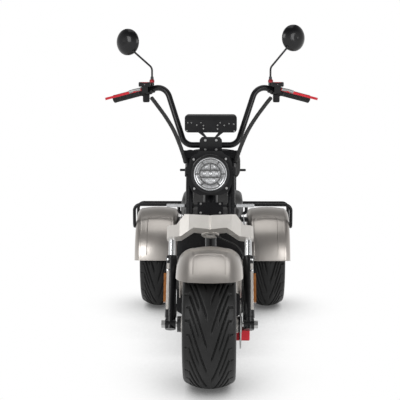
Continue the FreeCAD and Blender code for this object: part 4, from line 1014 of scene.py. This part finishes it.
def floor():
    """Floor that the camera sees as white glow, with a painted shadow: ambient occlusion dims the glow only
    where the object stands over it.
    """
    mesh = bpy.data.meshes.new("floor")
    size = 30
    corners = [(-size, -size, 0), (size, -size, 0), (size, size, 0), (-size, size, 0)]
    mesh.from_pydata(corners, [], [(0, 1, 2, 3)])
    ground = bpy.data.objects.new("floor", mesh)
    bpy.context.scene.collection.objects.link(ground)
    mat = bpy.data.materials.new("floor_white_painted_shadow")
    mat.use_nodes = True
    nodes, links = mat.node_tree.nodes, mat.node_tree.links
    nodes.clear()
    out = nodes.new("ShaderNodeOutputMaterial")
    diffuse = nodes.new("ShaderNodeBsdfDiffuse")
    diffuse.inputs["Color"].default_value = (0.80, 0.80, 0.80, 1)
    # Painted shadow: ambient occlusion darkens the camera-seen glow under and near the object.
    painted_shadow_ao = nodes.new("ShaderNodeAmbientOcclusion")
    painted_shadow_ao.inputs["Distance"].default_value = 0.55
    painted_shadow_ao.samples = 12
    painted_shadow_strength = nodes.new("ShaderNodeMapRange")
    painted_shadow_strength.inputs["From Min"].default_value = 0.15
    painted_shadow_strength.inputs["From Max"].default_value = 0.80
    painted_shadow_strength.inputs["To Min"].default_value = 0.10
    painted_shadow_strength.inputs["To Max"].default_value = 1.0
    links.new(painted_shadow_ao.outputs["AO"], painted_shadow_strength.inputs["Value"])
    glow = nodes.new("ShaderNodeEmission")
    links.new(painted_shadow_strength.outputs["Result"], glow.inputs["Strength"])
    path = nodes.new("ShaderNodeLightPath")
    seen = nodes.new("ShaderNodeMath")
    seen.operation = "MAXIMUM"
    also = nodes.new("ShaderNodeMath")
    also.operation = "MAXIMUM"
    links.new(path.outputs["Is Camera Ray"], seen.inputs[0])
    links.new(path.outputs["Is Glossy Ray"], seen.inputs[1])
    links.new(seen.outputs[0], also.inputs[0])
    links.new(path.outputs["Is Transmission Ray"], also.inputs[1])
    choose = nodes.new("ShaderNodeMixShader")
    links.new(also.outputs[0], choose.inputs["Fac"])
    links.new(diffuse.outputs[0], choose.inputs[1])
    links.new(glow.outputs[0], choose.inputs[2])
    links.new(choose.outputs[0], out.inputs["Surface"])
    mesh.materials.append(mat)


def studio():
    """White to the camera; its light comes mostly from low down and fades towards the top."""
    world = bpy.data.worlds.new("studio")
    bpy.context.scene.world = world
    world.use_nodes = True
    nodes, links = world.node_tree.nodes, world.node_tree.links
    back = nodes["Background"]
    back.inputs["Color"].default_value = (1, 1, 1, 1)
    coord = nodes.new("ShaderNodeTexCoord")
    split = nodes.new("ShaderNodeSeparateXYZ")
    links.new(coord.outputs["Generated"], split.inputs["Vector"])
    height = nodes.new("ShaderNodeMapRange")
    height.inputs["From Min"].default_value = 0.0
    height.inputs["From Max"].default_value = 0.75
    height.inputs["To Min"].default_value = 0.85
    height.inputs["To Max"].default_value = 0.16
    links.new(split.outputs["Z"], height.inputs["Value"])
    path = nodes.new("ShaderNodeLightPath")
    seen = nodes.new("ShaderNodeMix")
    seen.data_type = "FLOAT"
    links.new(path.outputs["Is Camera Ray"], seen.inputs["Factor"])
    links.new(height.outputs["Result"], seen.inputs["A"])
    seen.inputs["B"].default_value = 1.0
    links.new(seen.outputs["Result"], back.inputs["Strength"])


def area(name, place, target, size_m, power):
    light = bpy.data.lights.new(name, "AREA")
    light.energy = power
    light.size = size_m
    lamp = bpy.data.objects.new(name, light)
    lamp.location = place
    lamp.rotation_euler = (Vector(target) - Vector(place)).to_track_quat("-Z", "Y").to_euler()
    bpy.context.scene.collection.objects.link(lamp)


floor()
studio()
area("key", (-2.4, -3.4, 2.4), (0, 0, 0.5), 2.0, 58)
area("fill", (2.6, -3.0, 1.8), (0, 0, 0.5), 1.8, 42)
area("top", (0, 0.6, 4.2), (0, 0, 0.3), 3.0, 30)

CAMERA_BACK = 3.629
CAMERA_SIDE = 0.040
CAMERA_HEIGHT = 1.129
CAMERA_DIP = 6.65
CAMERA_TURN = 1.2
cam_data = bpy.data.cameras.new("camera")
cam_data.sensor_width = 36.0
cam_data.lens = 89.2
camera = bpy.data.objects.new("camera", cam_data)
camera.location = (CAMERA_SIDE, FRONT_HUB.y - CAMERA_BACK, CAMERA_HEIGHT)
camera.rotation_euler = (math.radians(90 - CAMERA_DIP), 0, math.radians(CAMERA_TURN))
bpy.context.scene.collection.objects.link(camera)
bpy.context.scene.camera = camera
bpy.context.scene.view_settings.view_transform = "Standard"

bpy.context.view_layer.update()
